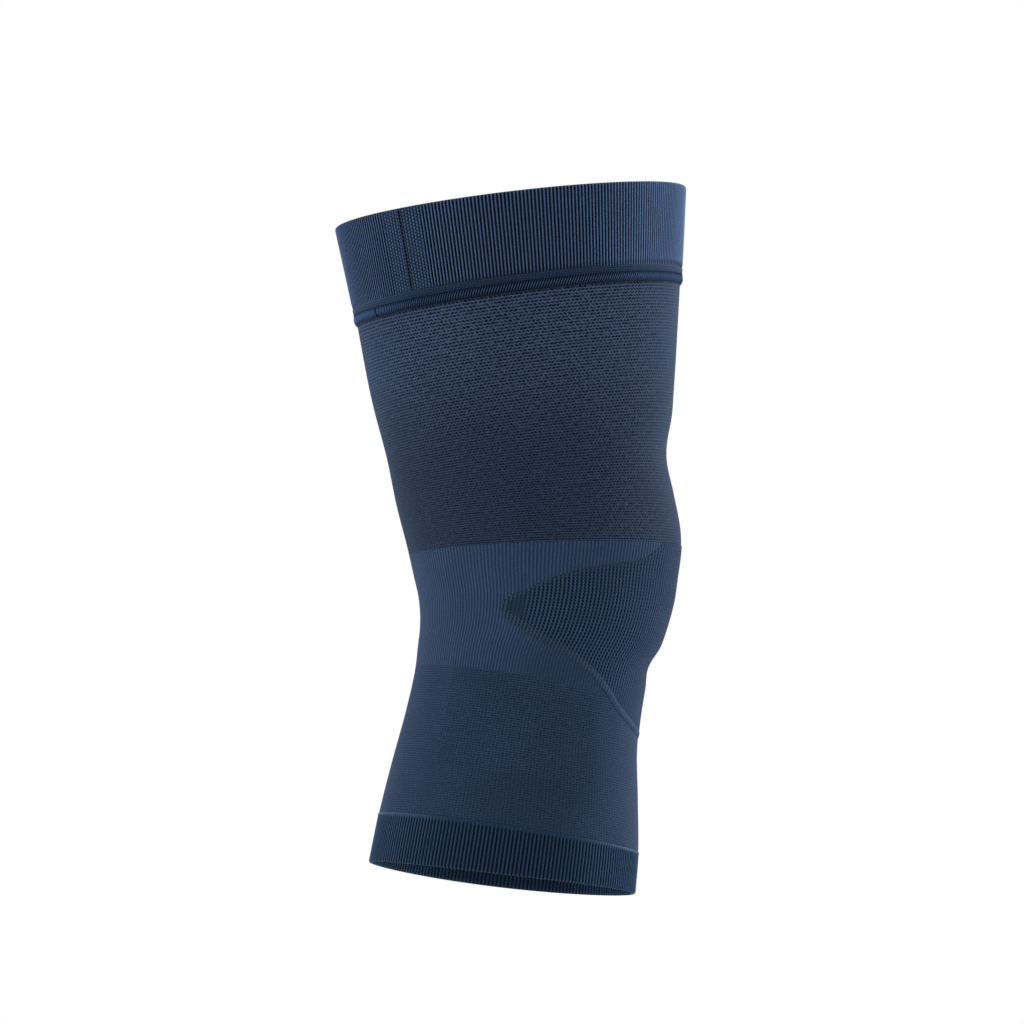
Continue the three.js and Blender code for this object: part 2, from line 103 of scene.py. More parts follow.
class SleeveKnit(bpy.types.PropertyGroup):
    """Widths of ribs and stitches.

    The real stitches of the tube are finer than the picture can show, and are drawn as coarse as they
    need to be to be told apart. The ribs of both cuffs are as wide as the real ones.
    """

    cuff_rib: length("Cuff rib", "Width of one rib of the top cuff", 1.55)
    hem_rib: length("Bottom cuff rib", "Width of one rib of the bottom cuff", 1.65)
    overlock: length("Overlock pitch", "Distance between the stitches of the joining seam", 1.15)
    mesh_wale: length("Mesh column", "Width of one column of dashes in the thigh panel", 1.6)
    mesh_course_top: length("Mesh row, top", "Height of one row of dashes under the cuff", 1.36)
    mesh_course_low: length("Mesh row, low", "Height of one row of dashes above the knee", 1.0)
    knee_rib: length("Knee rib", "Width of one fine rib of the knee panel", 1.5)
    patella_rib: length("Patella wale", "Width of one wale of the patella panel", 1.7)
    patella_course: length("Patella course", "Height of one eyelet of the patella panel", 1.26)
    fine_wale: length("Fine column", "Width of one column of the shin panel", 1.4)
    fine_course: length("Fine row", "Height of one row of the shin panel", 1.0)


class SleeveColours(bpy.types.PropertyGroup):
    """Colours of the yarns and crests, and the painted shade between them."""

    rib_crest: colour("Rib crest", "Crests of the cuffs' ribs", "#546c92")
    rib_groove: colour("Rib groove", "Grooves between the cuffs' ribs", "#010206")
    hem_crest: colour("Bottom cuff crest", "Crests of the bottom cuff's ribs", "#29405a")
    seam: colour("Seam thread", "Thread of the joining seam", "#30435f")
    closing: colour("Closing thread", "Thread of the cuff's closing seam", "#33405a")
    mesh_light: colour("Mesh yarn", "Raised yarn of the thigh panel", "#435470")
    mesh_dark: colour("Mesh dash", "Short dashes of the thigh panel", "#070d19")
    knee_light: colour("Knee rib", "Crests of the knee panel", "#3c506e")
    knee_dark: colour("Knee groove", "Grooves of the knee panel", "#263349")
    patella_light: colour("Patella wale", "Wales of the patella panel", "#3a5070")
    patella_dark: colour("Patella eyelet", "Eyelets of the patella panel", "#01030a")
    border: colour("Border", "Dense knit of the patella border", "#465a78")
    fine_light: colour("Fine knit", "Loops of the shin panel", "#344661")
    fine_dark: colour("Fine knit shade", "Gaps between the shin panel's rows", "#060d19")
    floor: colour("Floor", "The pale studio floor", "#f2f2f2")


def settings(context):
    """The sizes, knits and colours that the sidebar shows."""
    scene = context.scene
    return scene.sleeve_sizes, scene.sleeve_knit, scene.sleeve_colours


# The form of the leg, which every piece follows

SLEEVE_LENGTH = 282.5 * MM
HEM_EDGE = -117 * MM
ABOVE_KNEE = HEM_EDGE + SLEEVE_LENGTH
KNEECAP_DEPTH = 111.5 * MM
KNEECAP_WIDTH = 106.3 * MM

Place = namedtuple("Place", "height depth width setback")
PLACES = {
    "thigh": Place(ABOVE_KNEE, 147.6 * MM, 142.4 * MM, 16 * MM),
    "kneecap": Place(22.7 * MM, KNEECAP_DEPTH, KNEECAP_WIDTH, 3.3 * MM),
    "neck": Place(-34 * MM, 0.866 * KNEECAP_DEPTH, 0.875 * KNEECAP_WIDTH, 8 * MM),
    "calf": Place(HEM_EDGE, 1.008 * KNEECAP_DEPTH, 1.02 * KNEECAP_WIDTH, 19.6 * MM),
}

# Sections between two places. The shares go from 0 at the first place to 1 at the second. Tilt is in
# degrees, positive where the front of a section is lifted.
Section = namedtuple("Section", "start end height depth width setback tilt")
SECTIONS = [
    Section("neck", "calf", 1, 1, 1, 1, -6.8),
    Section("neck", "calf", 0.77, 0.85, 0.88, 0.76, -8.6),
    Section("neck", "calf", 0.5, 0.49, 0.55, 0.53, -8.5),
    Section("neck", "calf", 0.25, 0.12, 0.2, 0.3, -8.5),
    Section("kneecap", "neck", 1, 1, 1, 1, -7.8),
    Section("kneecap", "neck", 0.85, 0.95, 0.98, 0.72, -6.5),
    Section("kneecap", "neck", 0.66, 0.66, 0.76, 0.02, -4.5),
    Section("kneecap", "neck", 0.42, 0.41, 0.43, -0.28, -2),
    Section("kneecap", "neck", 0.22, 0.24, 0.19, -0.11, 0),
    Section("kneecap", "neck", 0, 0, 0, 0, 2.4),
    Section("kneecap", "thigh", 0.16, 0.12, 0.04, 0.24, 5.5),
    Section("kneecap", "thigh", 0.31, 0.26, 0.22, 0.37, 7.5),
    Section("kneecap", "thigh", 0.49, 0.49, 0.47, 0.55, 8.5),
    Section("kneecap", "thigh", 0.77, 0.76, 0.76, 0.78, 7.1),
    Section("kneecap", "thigh", 1, 1, 1, 1, 6.8),
]

# Bulges and hollows of the leg. Heights and half heights are shares of the length above the knee, and
# rises are shares of the depth at the kneecap.
Form = namedtuple("Form", "angle height half_angle half_height rise")
FORMS = [
    Form(0, 0.11, 62, 0.21, 0.031),
    Form(0, 0.34, 50, 0.1, -0.017),
    Form(76, 0.24, 26, 0.19, -0.016),
    Form(-76, 0.24, 26, 0.19, -0.016),
    Form(0, -0.135, 46, 0.05, -0.009),
]

KNEE_ZONE_TOP = 20.5 * MM
KNEE_ZONE_BOTTOM = -34.5 * MM
KNEE_ZONE_FRONT_ANGLE = 45
KNEE_ZONE_LEVEL_ANGLE = 105

# The patella panel's edge, from its lowest point round a side tip to its top corner. Angles are shares
# of the tip angle. Heights go from 0 at the lowest point over 1 at the tip to 2 at the knee zone's top.
TIP_ANGLE = 110
TIP_HEIGHT = -6.5 * MM
PATELLA_BOTTOM = -51 * MM
Spot = namedtuple("Spot", "angle height")
PATELLA_EDGE = [
    Spot(0, 0), Spot(0.15, 0.04), Spot(0.32, 0.16), Spot(0.42, 0.3), Spot(0.53, 0.45), Spot(0.66, 0.58),
    Spot(0.8, 0.69), Spot(0.9, 0.79), Spot(0.975, 0.89), Spot(1, 1), Spot(0.97, 1.13), Spot(0.9, 1.25),
    Spot(0.76, 1.47), Spot(0.6, 1.62), Spot(0.4, 1.73), Spot(0.31, 1.85), Spot(0.24, 2),
]


def smooth_step(value, start, end):
    """0 up to the start of a change, 1 past its end, and a smooth curve between them."""
    share = np.clip((value - start) / (end - start), 0, 1)
    return share * share * (3 - 2 * share)


def lerp(start, end, share):
    """The value at a share of the way from start to end."""
    return start + (end - start) * share


class LegForm:
    """The outer surface of the single knit, at any angle in degrees and height in metres."""

    def __init__(self):
        """Works out the sections' real lengths and the slopes of a smooth curve through them."""
        rows = []
        for row in SECTIONS:
            start, end = PLACES[row.start], PLACES[row.end]
            shares = (row.height, row.depth, row.width, row.setback)
            rows.append([lerp(a, b, share) for a, b, share in zip(start, end, shares)] + [row.tilt])
        table = np.array(rows)
        self.heights = table[:, 0]
        gaps = np.diff(self.heights)
        self.values = dict(zip(("depth", "width", "setback", "tilt"), table[:, 1:].T))
        self.slopes = {}
        for name, value in self.values.items():
            rise = np.diff(value) / gaps
            inside = (rise[:-1] * gaps[1:] + rise[1:] * gaps[:-1]) / (gaps[:-1] + gaps[1:])
            self.slopes[name] = np.concatenate([rise[:1], inside, rise[-1:]])

    def value(self, name, height):
        """One value of the sections at any height."""
        low = np.clip(np.searchsorted(self.heights, height) - 1, 0, len(self.heights) - 2)
        gap = self.heights[low + 1] - self.heights[low]
        share = (height - self.heights[low]) / gap
        values, slopes = self.values[name], self.slopes[name]
        from_low = values[low] * (1 + 2 * share) * (1 - share) ** 2
        from_high = values[low + 1] * share * share * (3 - 2 * share)
        bend = slopes[low] * (1 - share) - slopes[low + 1] * share
        return from_low + from_high + bend * gap * share * (1 - share)

    def rise(self, angle, height):
        """How far the bulges and hollows lift the surface."""
        total = 0
        for form in FORMS:
            turn = np.abs((angle - form.angle + HALF_TURN) % FULL_TURN - HALF_TURN)
            away = (height / ABOVE_KNEE - form.height) / form.half_height
            distance = np.minimum(np.hypot(turn / form.half_angle, away), 1)
            total = total + form.rise * KNEECAP_DEPTH * np.cos(distance * math.pi / 2) ** 2
        return total

    def point(self, angle, height, outward):
        """Points on the surface, or outward of it."""
        lift = outward + self.rise(angle, height)
        half_depth = self.value("depth", height) / 2 + lift
        half_width = self.value("width", height) / 2 + lift
        turn = np.radians(angle)
        tilt = np.radians(self.value("tilt", height))
        forward = half_depth * np.cos(turn)
        x = -half_width * np.sin(turn)
        y = self.value("setback", height) - forward * np.cos(tilt)
        z = height + forward * np.sin(tilt)
        return np.stack(np.broadcast_arrays(x, y, z), axis=-1)


FORM = LegForm()


def around(height):
    """Length round the sleeve at one height, as of an ellipse."""
    deep, wide = FORM.value("depth", height) / 2, FORM.value("width", height) / 2
    return math.pi * (3 * (deep + wide) - math.sqrt((3 * deep + wide) * (deep + 3 * wide)))


KNEE_ROUND = around(0.0)


def from_front(angle):
    """How many degrees an angle is away from the front, on either side."""
    return HALF_TURN - np.abs(HALF_TURN - angle % FULL_TURN)


def front_and_back(angle, start, end):
    """1 at the front and back of the sleeve, 0 at its sides. Start and end are shares of the half depth."""
    return smooth_step(np.abs(np.cos(np.radians(angle))), start, end)


# Meshes

def steps(count):
    """Evenly spaced shares from 0 to 1."""
    return np.linspace(0, 1, count + 1)


# The sides of a wall: which of its cells have a face there, and that face's corners. Corners 0 to 3 are a
# cell's outer ones, clockwise from the upper left, and 4 to 7 are the inner ones behind them.
WALL_SIDES = [
    (np.s_[:, :], (0, 1, 2, 3)),
    (np.s_[:, :], (4, 7, 6, 5)),
    (np.s_[0], (4, 5, 1, 0)),
    (np.s_[-1], (3, 2, 6, 7)),
]
WALL_ENDS = [
    (np.s_[:, 0], (4, 0, 3, 7)),
    (np.s_[:, -1], (1, 5, 6, 2)),
]


def wall(place, across, along, ring=False):
    """A closed wall of knit as points, faces, stitch coordinates, tones and contrasts.

    place(share, down) gives for whole grids the angle, height, outer, inner, u, v, tone and contrast.
    """
    share, down = np.meshgrid(across, along)
    spot = {"tone": 1.0, "contrast": 1.0, **place(share, down)}
    grids = {name: np.broadcast_to(value, share.shape) for name, value in spot.items()}
    rows, stations = share.shape
    columns = stations - 1 if ring else stations
    number = np.arange(rows * columns).reshape(rows, columns)
    if ring:
        number = np.hstack([number, number[:, :1]])
    surfaces = [FORM.point(grids["angle"], grids["height"], grids[name]) for name in ("outer", "inner")]
    points = np.concatenate([surface[:, :columns].reshape(-1, 3) for surface in surfaces])

    def corners(grid):
        return [grid[:-1, :-1], grid[:-1, 1:], grid[1:, 1:], grid[1:, :-1]]

    numbers = corners(number) + corners(number + rows * columns)
    uv = corners(np.stack([grids["u"], grids["v"]], axis=-1)) * 2
    faces, loops = [], []
    for cells, order in WALL_SIDES if ring else WALL_SIDES + WALL_ENDS:
        faces.append(np.stack([numbers[corner][cells].reshape(-1) for corner in order], axis=-1))
        loops.append(np.stack([uv[corner][cells].reshape(-1, 2) for corner in order], axis=1))
    tones = [np.tile(grids[name][:, :columns].reshape(-1), 2) for name in ("tone", "contrast")]
    return points, np.concatenate(faces), np.concatenate(loops), *tones


# A thread has five sides. Each of its ends, the first or the last ring of points, is closed by a face with
# four corners and one with three.
THREAD_SIDES = 5
THREAD_ENDS = [(0, (3, 2, 1, 0)), (0, (4, 3, 0, 0)), (-1, (0, 1, 2, 3)), (-1, (0, 3, 4, 4))]


def threads(angle, height, lift, radius, tone):
    """Short threads along rows of places on the sleeve, thin at both ends, as one block of a mesh."""
    angle, height, lift = np.broadcast_arrays(angle, height, lift)
    centres = FORM.point(angle, height, lift)
    count, spots = angle.shape
    along = np.gradient(centres, axis=1)
    along /= np.linalg.norm(along, axis=2, keepdims=True)
    across = np.cross(along, FORM.point(angle, height, lift + MM) - centres)
    across /= np.linalg.norm(across, axis=2, keepdims=True)
    up = np.cross(across, along)
    swell = np.sin(np.linspace(0.06, 0.94, spots) * math.pi) ** 0.5
    turn = np.linspace(0, 2 * math.pi, THREAD_SIDES, endpoint=False)[:, None]
    ring = np.cos(turn) * across[:, :, None] + np.sin(turn) * up[:, :, None]
    points = (centres[:, :, None] + radius * swell[:, None, None] * ring).reshape(-1, 3)
    number = np.arange(len(points)).reshape(count, spots, THREAD_SIDES)
    after = np.roll(number, -1, axis=2)
    sides = np.stack([number[:, :-1], after[:, :-1], after[:, 1:], number[:, 1:]], axis=-1).reshape(-1, 4)
    faces = np.concatenate([sides, *(number[:, end, corners] for end, corners in THREAD_ENDS)])
    spot = np.tile(np.repeat(np.arange(spots), THREAD_SIDES), count)
    uv = np.stack([np.full(len(points), 0.5), spot / spots], axis=-1)[faces]
    tones = np.repeat(np.broadcast_to(tone, (count,)), spots * THREAD_SIDES)
    return points, faces, uv, tones, np.ones(len(points))


WELD_DISTANCE = 0.01 * MM
SPECK_SIZE = 0.001 * MM
SHARP_ANGLE = 60


def piece(name, blocks, material, node, weld=False):
    """One object from blocks of points, faces, stitch coordinates, tones and contrasts.

    It takes the place of a node of the frame.
    """
    offsets = np.cumsum([0] + [len(block[0]) for block in blocks[:-1]])
    points = np.concatenate([block[0] for block in blocks])
    faces = np.concatenate([block[1] + offset for block, offset in zip(blocks, offsets)])
    uv = np.concatenate([block[2] for block in blocks]).reshape(-1, 2)
    mesh = bpy.data.meshes.new(name)
    mesh.vertices.add(len(points))
    mesh.vertices.foreach_set("co", points.astype(np.float32).ravel())
    mesh.loops.add(faces.size)
    mesh.loops.foreach_set("vertex_index", faces.astype(np.int32).ravel())
    mesh.polygons.add(len(faces))
    mesh.polygons.foreach_set("loop_start", np.arange(0, faces.size, 4, dtype=np.int32))
    mesh.update(calc_edges=True)
    mesh.uv_layers.new(name=KNIT_UV).data.foreach_set("uv", uv.astype(np.float32).ravel())
    for attribute, index in ((TONE, 3), (CONTRAST, 4)):
        values = np.concatenate([block[index] for block in blocks]).astype(np.float32)
        mesh.attributes.new(attribute, "FLOAT", "POINT").data.foreach_set("value", values)
    mesh.polygons.foreach_set("use_smooth", np.ones(len(faces), dtype=bool))
    work = bmesh.new()
    work.from_mesh(mesh)
    if weld:
        bmesh.ops.remove_doubles(work, verts=work.verts, dist=WELD_DISTANCE)
    bmesh.ops.dissolve_degenerate(work, edges=work.edges, dist=SPECK_SIZE)
    work.to_mesh(mesh)
    work.free()
    mesh.set_sharp_from_angle(angle=math.radians(SHARP_ANGLE))
    made = bpy.data.objects.new(name, mesh)
    bpy.context.scene.collection.objects.link(made)
    mesh.materials.append(material)
    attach(made, "root")
    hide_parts(node)
    return made


# Materials

def add(tree, kind, inputs=(), **options):
    """Adds a node with its settings. Its inputs are values, sockets, or nodes by their first output."""
    node = tree.nodes.new("ShaderNode" + kind)
    for name, value in options.items():
        setattr(node, name, value)
    for socket, value in inputs.items() if isinstance(inputs, dict) else enumerate(inputs):
        if isinstance(value, bpy.types.Node):
            value = value.outputs[0]
        if isinstance(value, bpy.types.NodeSocket):
            tree.links.new(value, node.inputs[socket])
        else:
            node.inputs[socket].default_value = value
    return node


def stitch_coordinates(tree):
    """The column and row of stitches, counted along the knit."""
    uv = add(tree, "UVMap", uv_map=KNIT_UV)
    both = add(tree, "SeparateXYZ", [uv])
    return both.outputs[0], both.outputs[1]


def crest(tree, count, sharpness):
    """1 on the middle of each column or row, and 0 between them, from a running count."""
    turned = add(tree, "Math", [count, math.pi], operation="MULTIPLY")
    wave = add(tree, "Math", [turned], operation="SINE")
    size = add(tree, "Math", [wave], operation="ABSOLUTE")
    return add(tree, "Math", [size, sharpness], operation="POWER")


def rib_pattern(tree, wale, course, sharpness=2.2):
    """Ribs with a groove between each two, the wider the sharper they are, and faint loops along them."""
    loops = crest(tree, course, 0.7)
    ribs = crest(tree, wale, sharpness)
    return add(tree, "Math", [ribs, add(tree, "MapRange", [loops, 0, 1, 0.9, 1])], operation="MULTIPLY")


def mesh_pattern(tree, wale, course):
    """Short dark dashes in a brick pattern: each row is shifted by half a column."""
    turned = add(tree, "Math", [wale, 2 * math.pi], operation="MULTIPLY")
    # The rows wave a little, as the loops pull them up and down in turn
    wave = add(tree, "Math", [add(tree, "Math", [turned], operation="SINE"), 0.1, course],
               operation="MULTIPLY_ADD")
    row = add(tree, "Math", [add(tree, "Math", [wave, math.pi], operation="MULTIPLY")], operation="SINE")
    size = add(tree, "Math", [row], operation="ABSOLUTE")
    column = add(tree, "Math", [turned], operation="COSINE")
    shifted = add(tree, "Math", [column, row], operation="MULTIPLY")
    dash = add(tree, "Math", [shifted, 0.27, size], operation="MULTIPLY_ADD")
    # No two floats are drawn in quite as far, so some dashes are faint and some deep
    spot = add(tree, "CombineXYZ", [wale, add(tree, "Math", [course, 0.5], operation="MULTIPLY")])
    uneven = add(tree, "TexNoise", {"Vector": spot, "Scale": 1.3, "Detail": 2.0})
    deep = add(tree, "MapRange", [uneven.outputs["Fac"], 0.3, 0.7, 0.55, 1.3])
    return add(tree, "MapRange", [add(tree, "Math", [dash, deep], operation="MULTIPLY"), 0, 1.25, 1, 0])


def eyelet_pattern(tree, wale, course):
    """Raised wales with a row of small dark eyelets between each two."""
    # The wales swing a little from side to side, loop by loop
    turned = add(tree, "Math", [course, 2 * math.pi], operation="MULTIPLY")
    swung = add(tree, "Math", [add(tree, "Math", [turned], operation="SINE"), 0.09, wale],
                operation="MULTIPLY_ADD")
    wales = crest(tree, swung, 1.4)
    holes = crest(tree, course, 1.2)
    gap = add(tree, "Math", [1, wales], operation="SUBTRACT")
    dark = add(tree, "Math", [gap, add(tree, "MapRange", [holes, 0, 1, 0.7, 1.4])], operation="MULTIPLY")
    return add(tree, "Math", [1, dark], operation="SUBTRACT", use_clamp=True)


def plain_pattern(tree, wale, course):
    """Close rows of fine loops, with faint columns through them."""
    rows = crest(tree, course, 0.7)
    columns = crest(tree, wale, 0.6)
    mixed = add(tree, "Mix", {"Factor": 0.4, "A": rows, "B": columns})
    spot = add(tree, "CombineXYZ", [wale, course])
    uneven = add(tree, "TexNoise", {"Vector": spot, "Scale": 1.9, "Detail": 1.0})
    lift = add(tree, "MapRange", [uneven.outputs["Fac"], 0.3, 0.7, -0.28, 0.28])
    return add(tree, "Math", [mixed, lift], operation="ADD")


# Widths of the soft patches in dyed yarn and of its lint, and the tints of the light that nylon throws back
PATCH_SIZE = 35.7 * MM
LINT_SIZE = 0.77 * MM
GLEAM = "#8fb4f0"
HAZE = "#7a9cd4"


def knit(name, pattern, light, dark, *, depth, sheen, gloss=0.1, roughness=0.8):
    """A knitted material, whose pattern gives the painted shade between the yarns and a relief.

    The relief is depth millimetres deep.
    """
    material = bpy.data.materials.new(name)
    material.use_nodes = True
    tree = material.node_tree
    tree.nodes.clear()
    wale, course = stitch_coordinates(tree)
    relief = pattern(tree, wale, course)
    tone = add(tree, "Attribute", attribute_name=TONE).outputs["Fac"]
    local = add(tree, "Attribute", attribute_name=CONTRAST).outputs["Fac"]
    # The relief and its painted shade are drawn towards their middle where the contrast is below 1, and
    # spread where it is above
    spread = add(tree, "Math", [add(tree, "Math", [relief, 0.5], operation="SUBTRACT"), local],
                 operation="MULTIPLY")
    shade = add(tree, "Math", [spread, 0.5], operation="ADD", use_clamp=True)
    # The dark colour is painted shade in the grooves and gaps between the yarns
    yarn = add(tree, "MixRGB", [shade, (*dark, 1), (*light, 1)])
    # Yarn is never dyed quite evenly, which gives the eye soft patches a few centimetres wide
    place = add(tree, "TexCoord").outputs["Object"]
    patches = add(tree, "TexNoise", {"Vector": place, "Scale": 1 / PATCH_SIZE, "Detail": 3.0})
    lint = add(tree, "TexNoise", {"Vector": place, "Scale": 1 / LINT_SIZE, "Detail": 1.0})
    even = add(tree, "MapRange", [patches.outputs["Fac"], 0.3, 0.7, 0.92, 1.08])
    fuzz = add(tree, "MapRange", [lint.outputs["Fac"], 0.25, 0.75, 0.84, 1.16])
    level = add(tree, "Math", [add(tree, "Math", [even, fuzz], operation="MULTIPLY"), tone],
                operation="MULTIPLY")
    base = add(tree, "VectorMath", {0: yarn, "Scale": level}, operation="SCALE")
    height = add(tree, "Math", [lint.outputs["Fac"], 0.25, shade], operation="MULTIPLY_ADD")
    bump = add(tree, "Bump", {"Strength": 1.0, "Distance": depth * MM, "Height": height})
    surface = add(tree, "BsdfPrincipled", {
        "Base Color": base,
        "Roughness": roughness,
        "Specular IOR Level": gloss,
        "Specular Tint": (*linear(GLEAM), 1),
        "Sheen Weight": sheen,
        "Sheen Roughness": 0.45,
        "Sheen Tint": (*linear(HAZE), 1),
        "Normal": bump,
    })
    add(tree, "OutputMaterial", [surface])
    return material


# Cuffs

RIM_ROUNDING = 1.1 * MM
RIM_SHARE_OF_WALL = 0.36
RIM_SPOTS = (0, 0.06, 0.22, 0.5)
CUFF_LINK = 1.4 * MM
COLUMNS_PER_RIB = 6
# The inner face follows the ribs too, but less
INNER_RELIEF = 0.6


def rim_faces(distance, thickness, rise):
    """Outer and inner faces of a knit that is rounded off at its edge."""
    reach = np.minimum(distance / RIM_ROUNDING, 1)
    inset = (1 - np.sqrt(reach * (2 - reach))) * (thickness + rise) * RIM_SHARE_OF_WALL
    return rise - inset, -thickness + inset


def cuff_faces(sizes, down):
    """Outer and inner faces of the doubled cuff, with the fold at its top edge."""
    return rim_faces(down * sizes.cuff_height, sizes.wall, sizes.cuff_rise)


def rim_steps(count, total, at_start):
    """Shares along a ribbed piece, closer together on its rounded rim."""
    rim = RIM_ROUNDING / total
    shares = np.concatenate([rim * np.array(RIM_SPOTS), np.linspace(rim, 1, count)])
    return shares if at_start else 1 - shares[::-1]


def rib_relief(wale, depth):
    """How far a rib's surface lies below its crest."""
    return -depth * (1 - np.abs(np.sin(math.pi * wale)) ** 1.2)


def cuff_degrees(distance):
    """The angle that a distance along the top cuff takes up at its side."""
    return math.degrees(distance / (FORM.value("width", ABOVE_KNEE) / 2))


# The closing seam's thread pulls the ribs on both sides of it into short links. Angles are counted from
# the seam.
CLOSING_SEAM_ANGLE = 129.5
PULLED_ANGLE = 9
PULLED_FULLY_ANGLE = 0.55 * PULLED_ANGLE
LINK_DEPTH = 0.35 * MM

# Where the top cuff's knit and its painted highlight change. Each pair is the start and the end of a change,
# in degrees away from the front, or in shares of the cuff's height.
CUFF_FRONT_HIGHLIGHT = (75, 22)
CUFF_BACK_HIGHLIGHT = (125, 150)
CUFF_RUN_OUT = (1, 0.97)
CUFF_RUN_OUT_DEPTH = 0.3 * MM
CUFF_ROWS = 14
CUFF_LINK_ROWS = 120

SEAMS = ("joining_seam_threads", "closing_seam_threads")


def top_cuff(sizes, knits, colours):
    """The doubled top cuff, with each rib and each link beside its closing seam as real relief."""
    low = ABOVE_KNEE - sizes.cuff_height
    ribs = round(around(ABOVE_KNEE) / knits.cuff_rib)
    half_seam = cuff_degrees(sizes.closing_width / 2)

    def place(share, down):
        angle = CLOSING_SEAM_ANGLE + lerp(half_seam, FULL_TURN - half_seam, share)
        outer, inner = cuff_faces(sizes, down)
        from_seam = np.minimum(share, 1 - share) * FULL_TURN
        pulled = smooth_step(from_seam, PULLED_ANGLE, PULLED_FULLY_ANGLE)
        stagger = math.pi * np.floor(share * ribs)
        links = 0.5 + 0.5 * np.cos(2 * math.pi * down * sizes.cuff_height / CUFF_LINK + stagger)
        relief = rib_relief(share * ribs, sizes.rib_depth) - LINK_DEPTH * pulled * links
        run_out = smooth_step(down, *CUFF_RUN_OUT)
        # Painted highlight: the band is drawn lighter towards its front and back, and its ribs' dark grooves
        # fade at the front
        front = smooth_step(from_front(angle), *CUFF_FRONT_HIGHLIGHT)
        back = smooth_step(from_front(angle), *CUFF_BACK_HIGHLIGHT)
        edge_highlight = lerp(0.85, 1.95, front) * lerp(1, 1.2, back)
        return {
            "angle": angle,
            "height": lerp(ABOVE_KNEE, low, down),
            "outer": outer + lerp(-CUFF_RUN_OUT_DEPTH, relief, run_out),
            "inner": inner - relief * INNER_RELIEF,
            "u": share * ribs,
            "v": down * sizes.cuff_height / CUFF_LINK,
            # Painted shade in the gaps between the pulled links, with the links drawn lighter, and painted
            # shade along the cuff's lowest edge
            "tone": lerp(1, 1.75 - 1.5 * links, pulled) * lerp(0.4, 1, run_out) * edge_highlight,
            "contrast": lerp(lerp(1.3, 0.7, front), 0.5, pulled),
        }

    # The mesh is closer beside the seam, where each link is its own relief
    columns = steps(ribs * COLUMNS_PER_RIB)
    near = PULLED_ANGLE / FULL_TURN
    first = np.flatnonzero(columns <= near)[-1]
    last = np.flatnonzero(columns >= 1 - near)[0]
    sparse = rim_steps(CUFF_ROWS, sizes.cuff_height, True)
    dense = rim_steps(CUFF_LINK_ROWS, sizes.cuff_height, True)
    blocks = [
        wall(place, columns[:first + 1], dense),
        wall(place, columns[first:last + 1], sparse),
        wall(place, columns[last:], dense),
    ]
    # Nylon rib pulled tight: bright rounded crests, and grooves as wide that hold no light
    rib = knit("ribbed nylon, doubled", partial(rib_pattern, sharpness=3.6), colours.rib_crest,
               colours.rib_groove, depth=0.2, sheen=0.4, gloss=0.25, roughness=0.5)
    cuff = piece("top_cuff_knit", blocks, rib, "top_cuff")
    around(ABOVE_KNEE)


# The bottom cuff's edge hangs lower at the sides, and its ribs are shallower than the top cuff's
HEM_SIDE_DROP = 1.2 * MM
HEM_RELIEF = 0.8
HEM_ROWS = 12
# A fine ridge runs round it where its ribs begin. Places are shares of the cuff's height.
HEM_RIDGE_RISE = 0.15 * MM
HEM_RIDGE_MIDDLE = 0.035
HEM_RIDGE_WIDTH = 0.022
HEM_RIDGE_ROWS = (0.02, HEM_RIDGE_MIDDLE, 0.05, 0.1)
HEM_RIDGE_SHADE = (0.04, 0.09)
HEM_RIBS_BEGIN = (0.03, 0.1)


def bottom_cuff(sizes, knits, colours):
    """The ribbed cuff round the calf."""
    top = HEM_EDGE + sizes.hem_height
    ribs = round(around(HEM_EDGE) / knits.hem_rib)

    def place(share, down):
        angle = share * FULL_TURN
        edge = HEM_EDGE - HEM_SIDE_DROP * np.sin(np.radians(angle)) ** 2
        outer, inner = rim_faces((1 - down) * sizes.hem_height, sizes.wall, sizes.hem_rise)
        begun = smooth_step(down, *HEM_RIBS_BEGIN)
        relief = rib_relief(share * ribs, sizes.rib_depth * HEM_RELIEF)
        ridge = HEM_RIDGE_RISE * np.exp(-(((down - HEM_RIDGE_MIDDLE) / HEM_RIDGE_WIDTH) ** 2))
        # Painted highlight: the cuff is drawn lighter towards its front and back
        edge_highlight = lerp(0.95, 1.6, front_and_back(angle, 0.4, 0.85))
        return {
            "angle": angle,
            "height": lerp(top, edge, down),
            "outer": outer + relief * begun + ridge,
            "inner": inner - relief * INNER_RELIEF,
            "u": share * ribs,
            "v": down * sizes.hem_height / CUFF_LINK,
            "tone": lerp(1.25, 1, smooth_step(down, *HEM_RIDGE_SHADE)) * edge_highlight,
            "contrast": lerp(0.15, 1, begun),
        }

    along = np.unique(np.concatenate([rim_steps(HEM_ROWS, sizes.hem_height, False), HEM_RIDGE_ROWS]))
    blocks = [wall(place, steps(ribs * COLUMNS_PER_RIB), along, ring=True)]
    # The same rib knitted closer, in the sleeve's darkest colours
    rib = knit("ribbed nylon, single", rib_pattern, colours.hem_crest, colours.rib_groove,
               depth=0.2, sheen=0.2, gloss=0.25, roughness=0.55)
    hem = piece("bottom_cuff_knit", blocks, rib, "bottom_cuff")
    around(HEM_EDGE)


# Seams

# Profile of the joining seam: shares of its height and of its rise. A plain course comes first, then a
# groove and the overlocked ridge.
Profile = namedtuple("Profile", "down rise")
JOINING_PROFILE = [
    Profile(0, 0.9), Profile(0.05, 1.1), Profile(0.36, 1.1), Profile(0.43, 0.95), Profile(0.48, 0.9),
    Profile(0.55, 1.05), Profile(0.66, 1.2), Profile(0.78, 1.15), Profile(0.9, 0.75), Profile(1, 0),
]
JOINING_COLUMNS = 480
JOINING_GROOVE = (0.33, 0.43)
# Edge-on, the stitches hide the dark between them, so there the band's painted shade is lifted and the
# stitches get a painted highlight
SEAM_EDGE_ON = (0.5, 0.95)

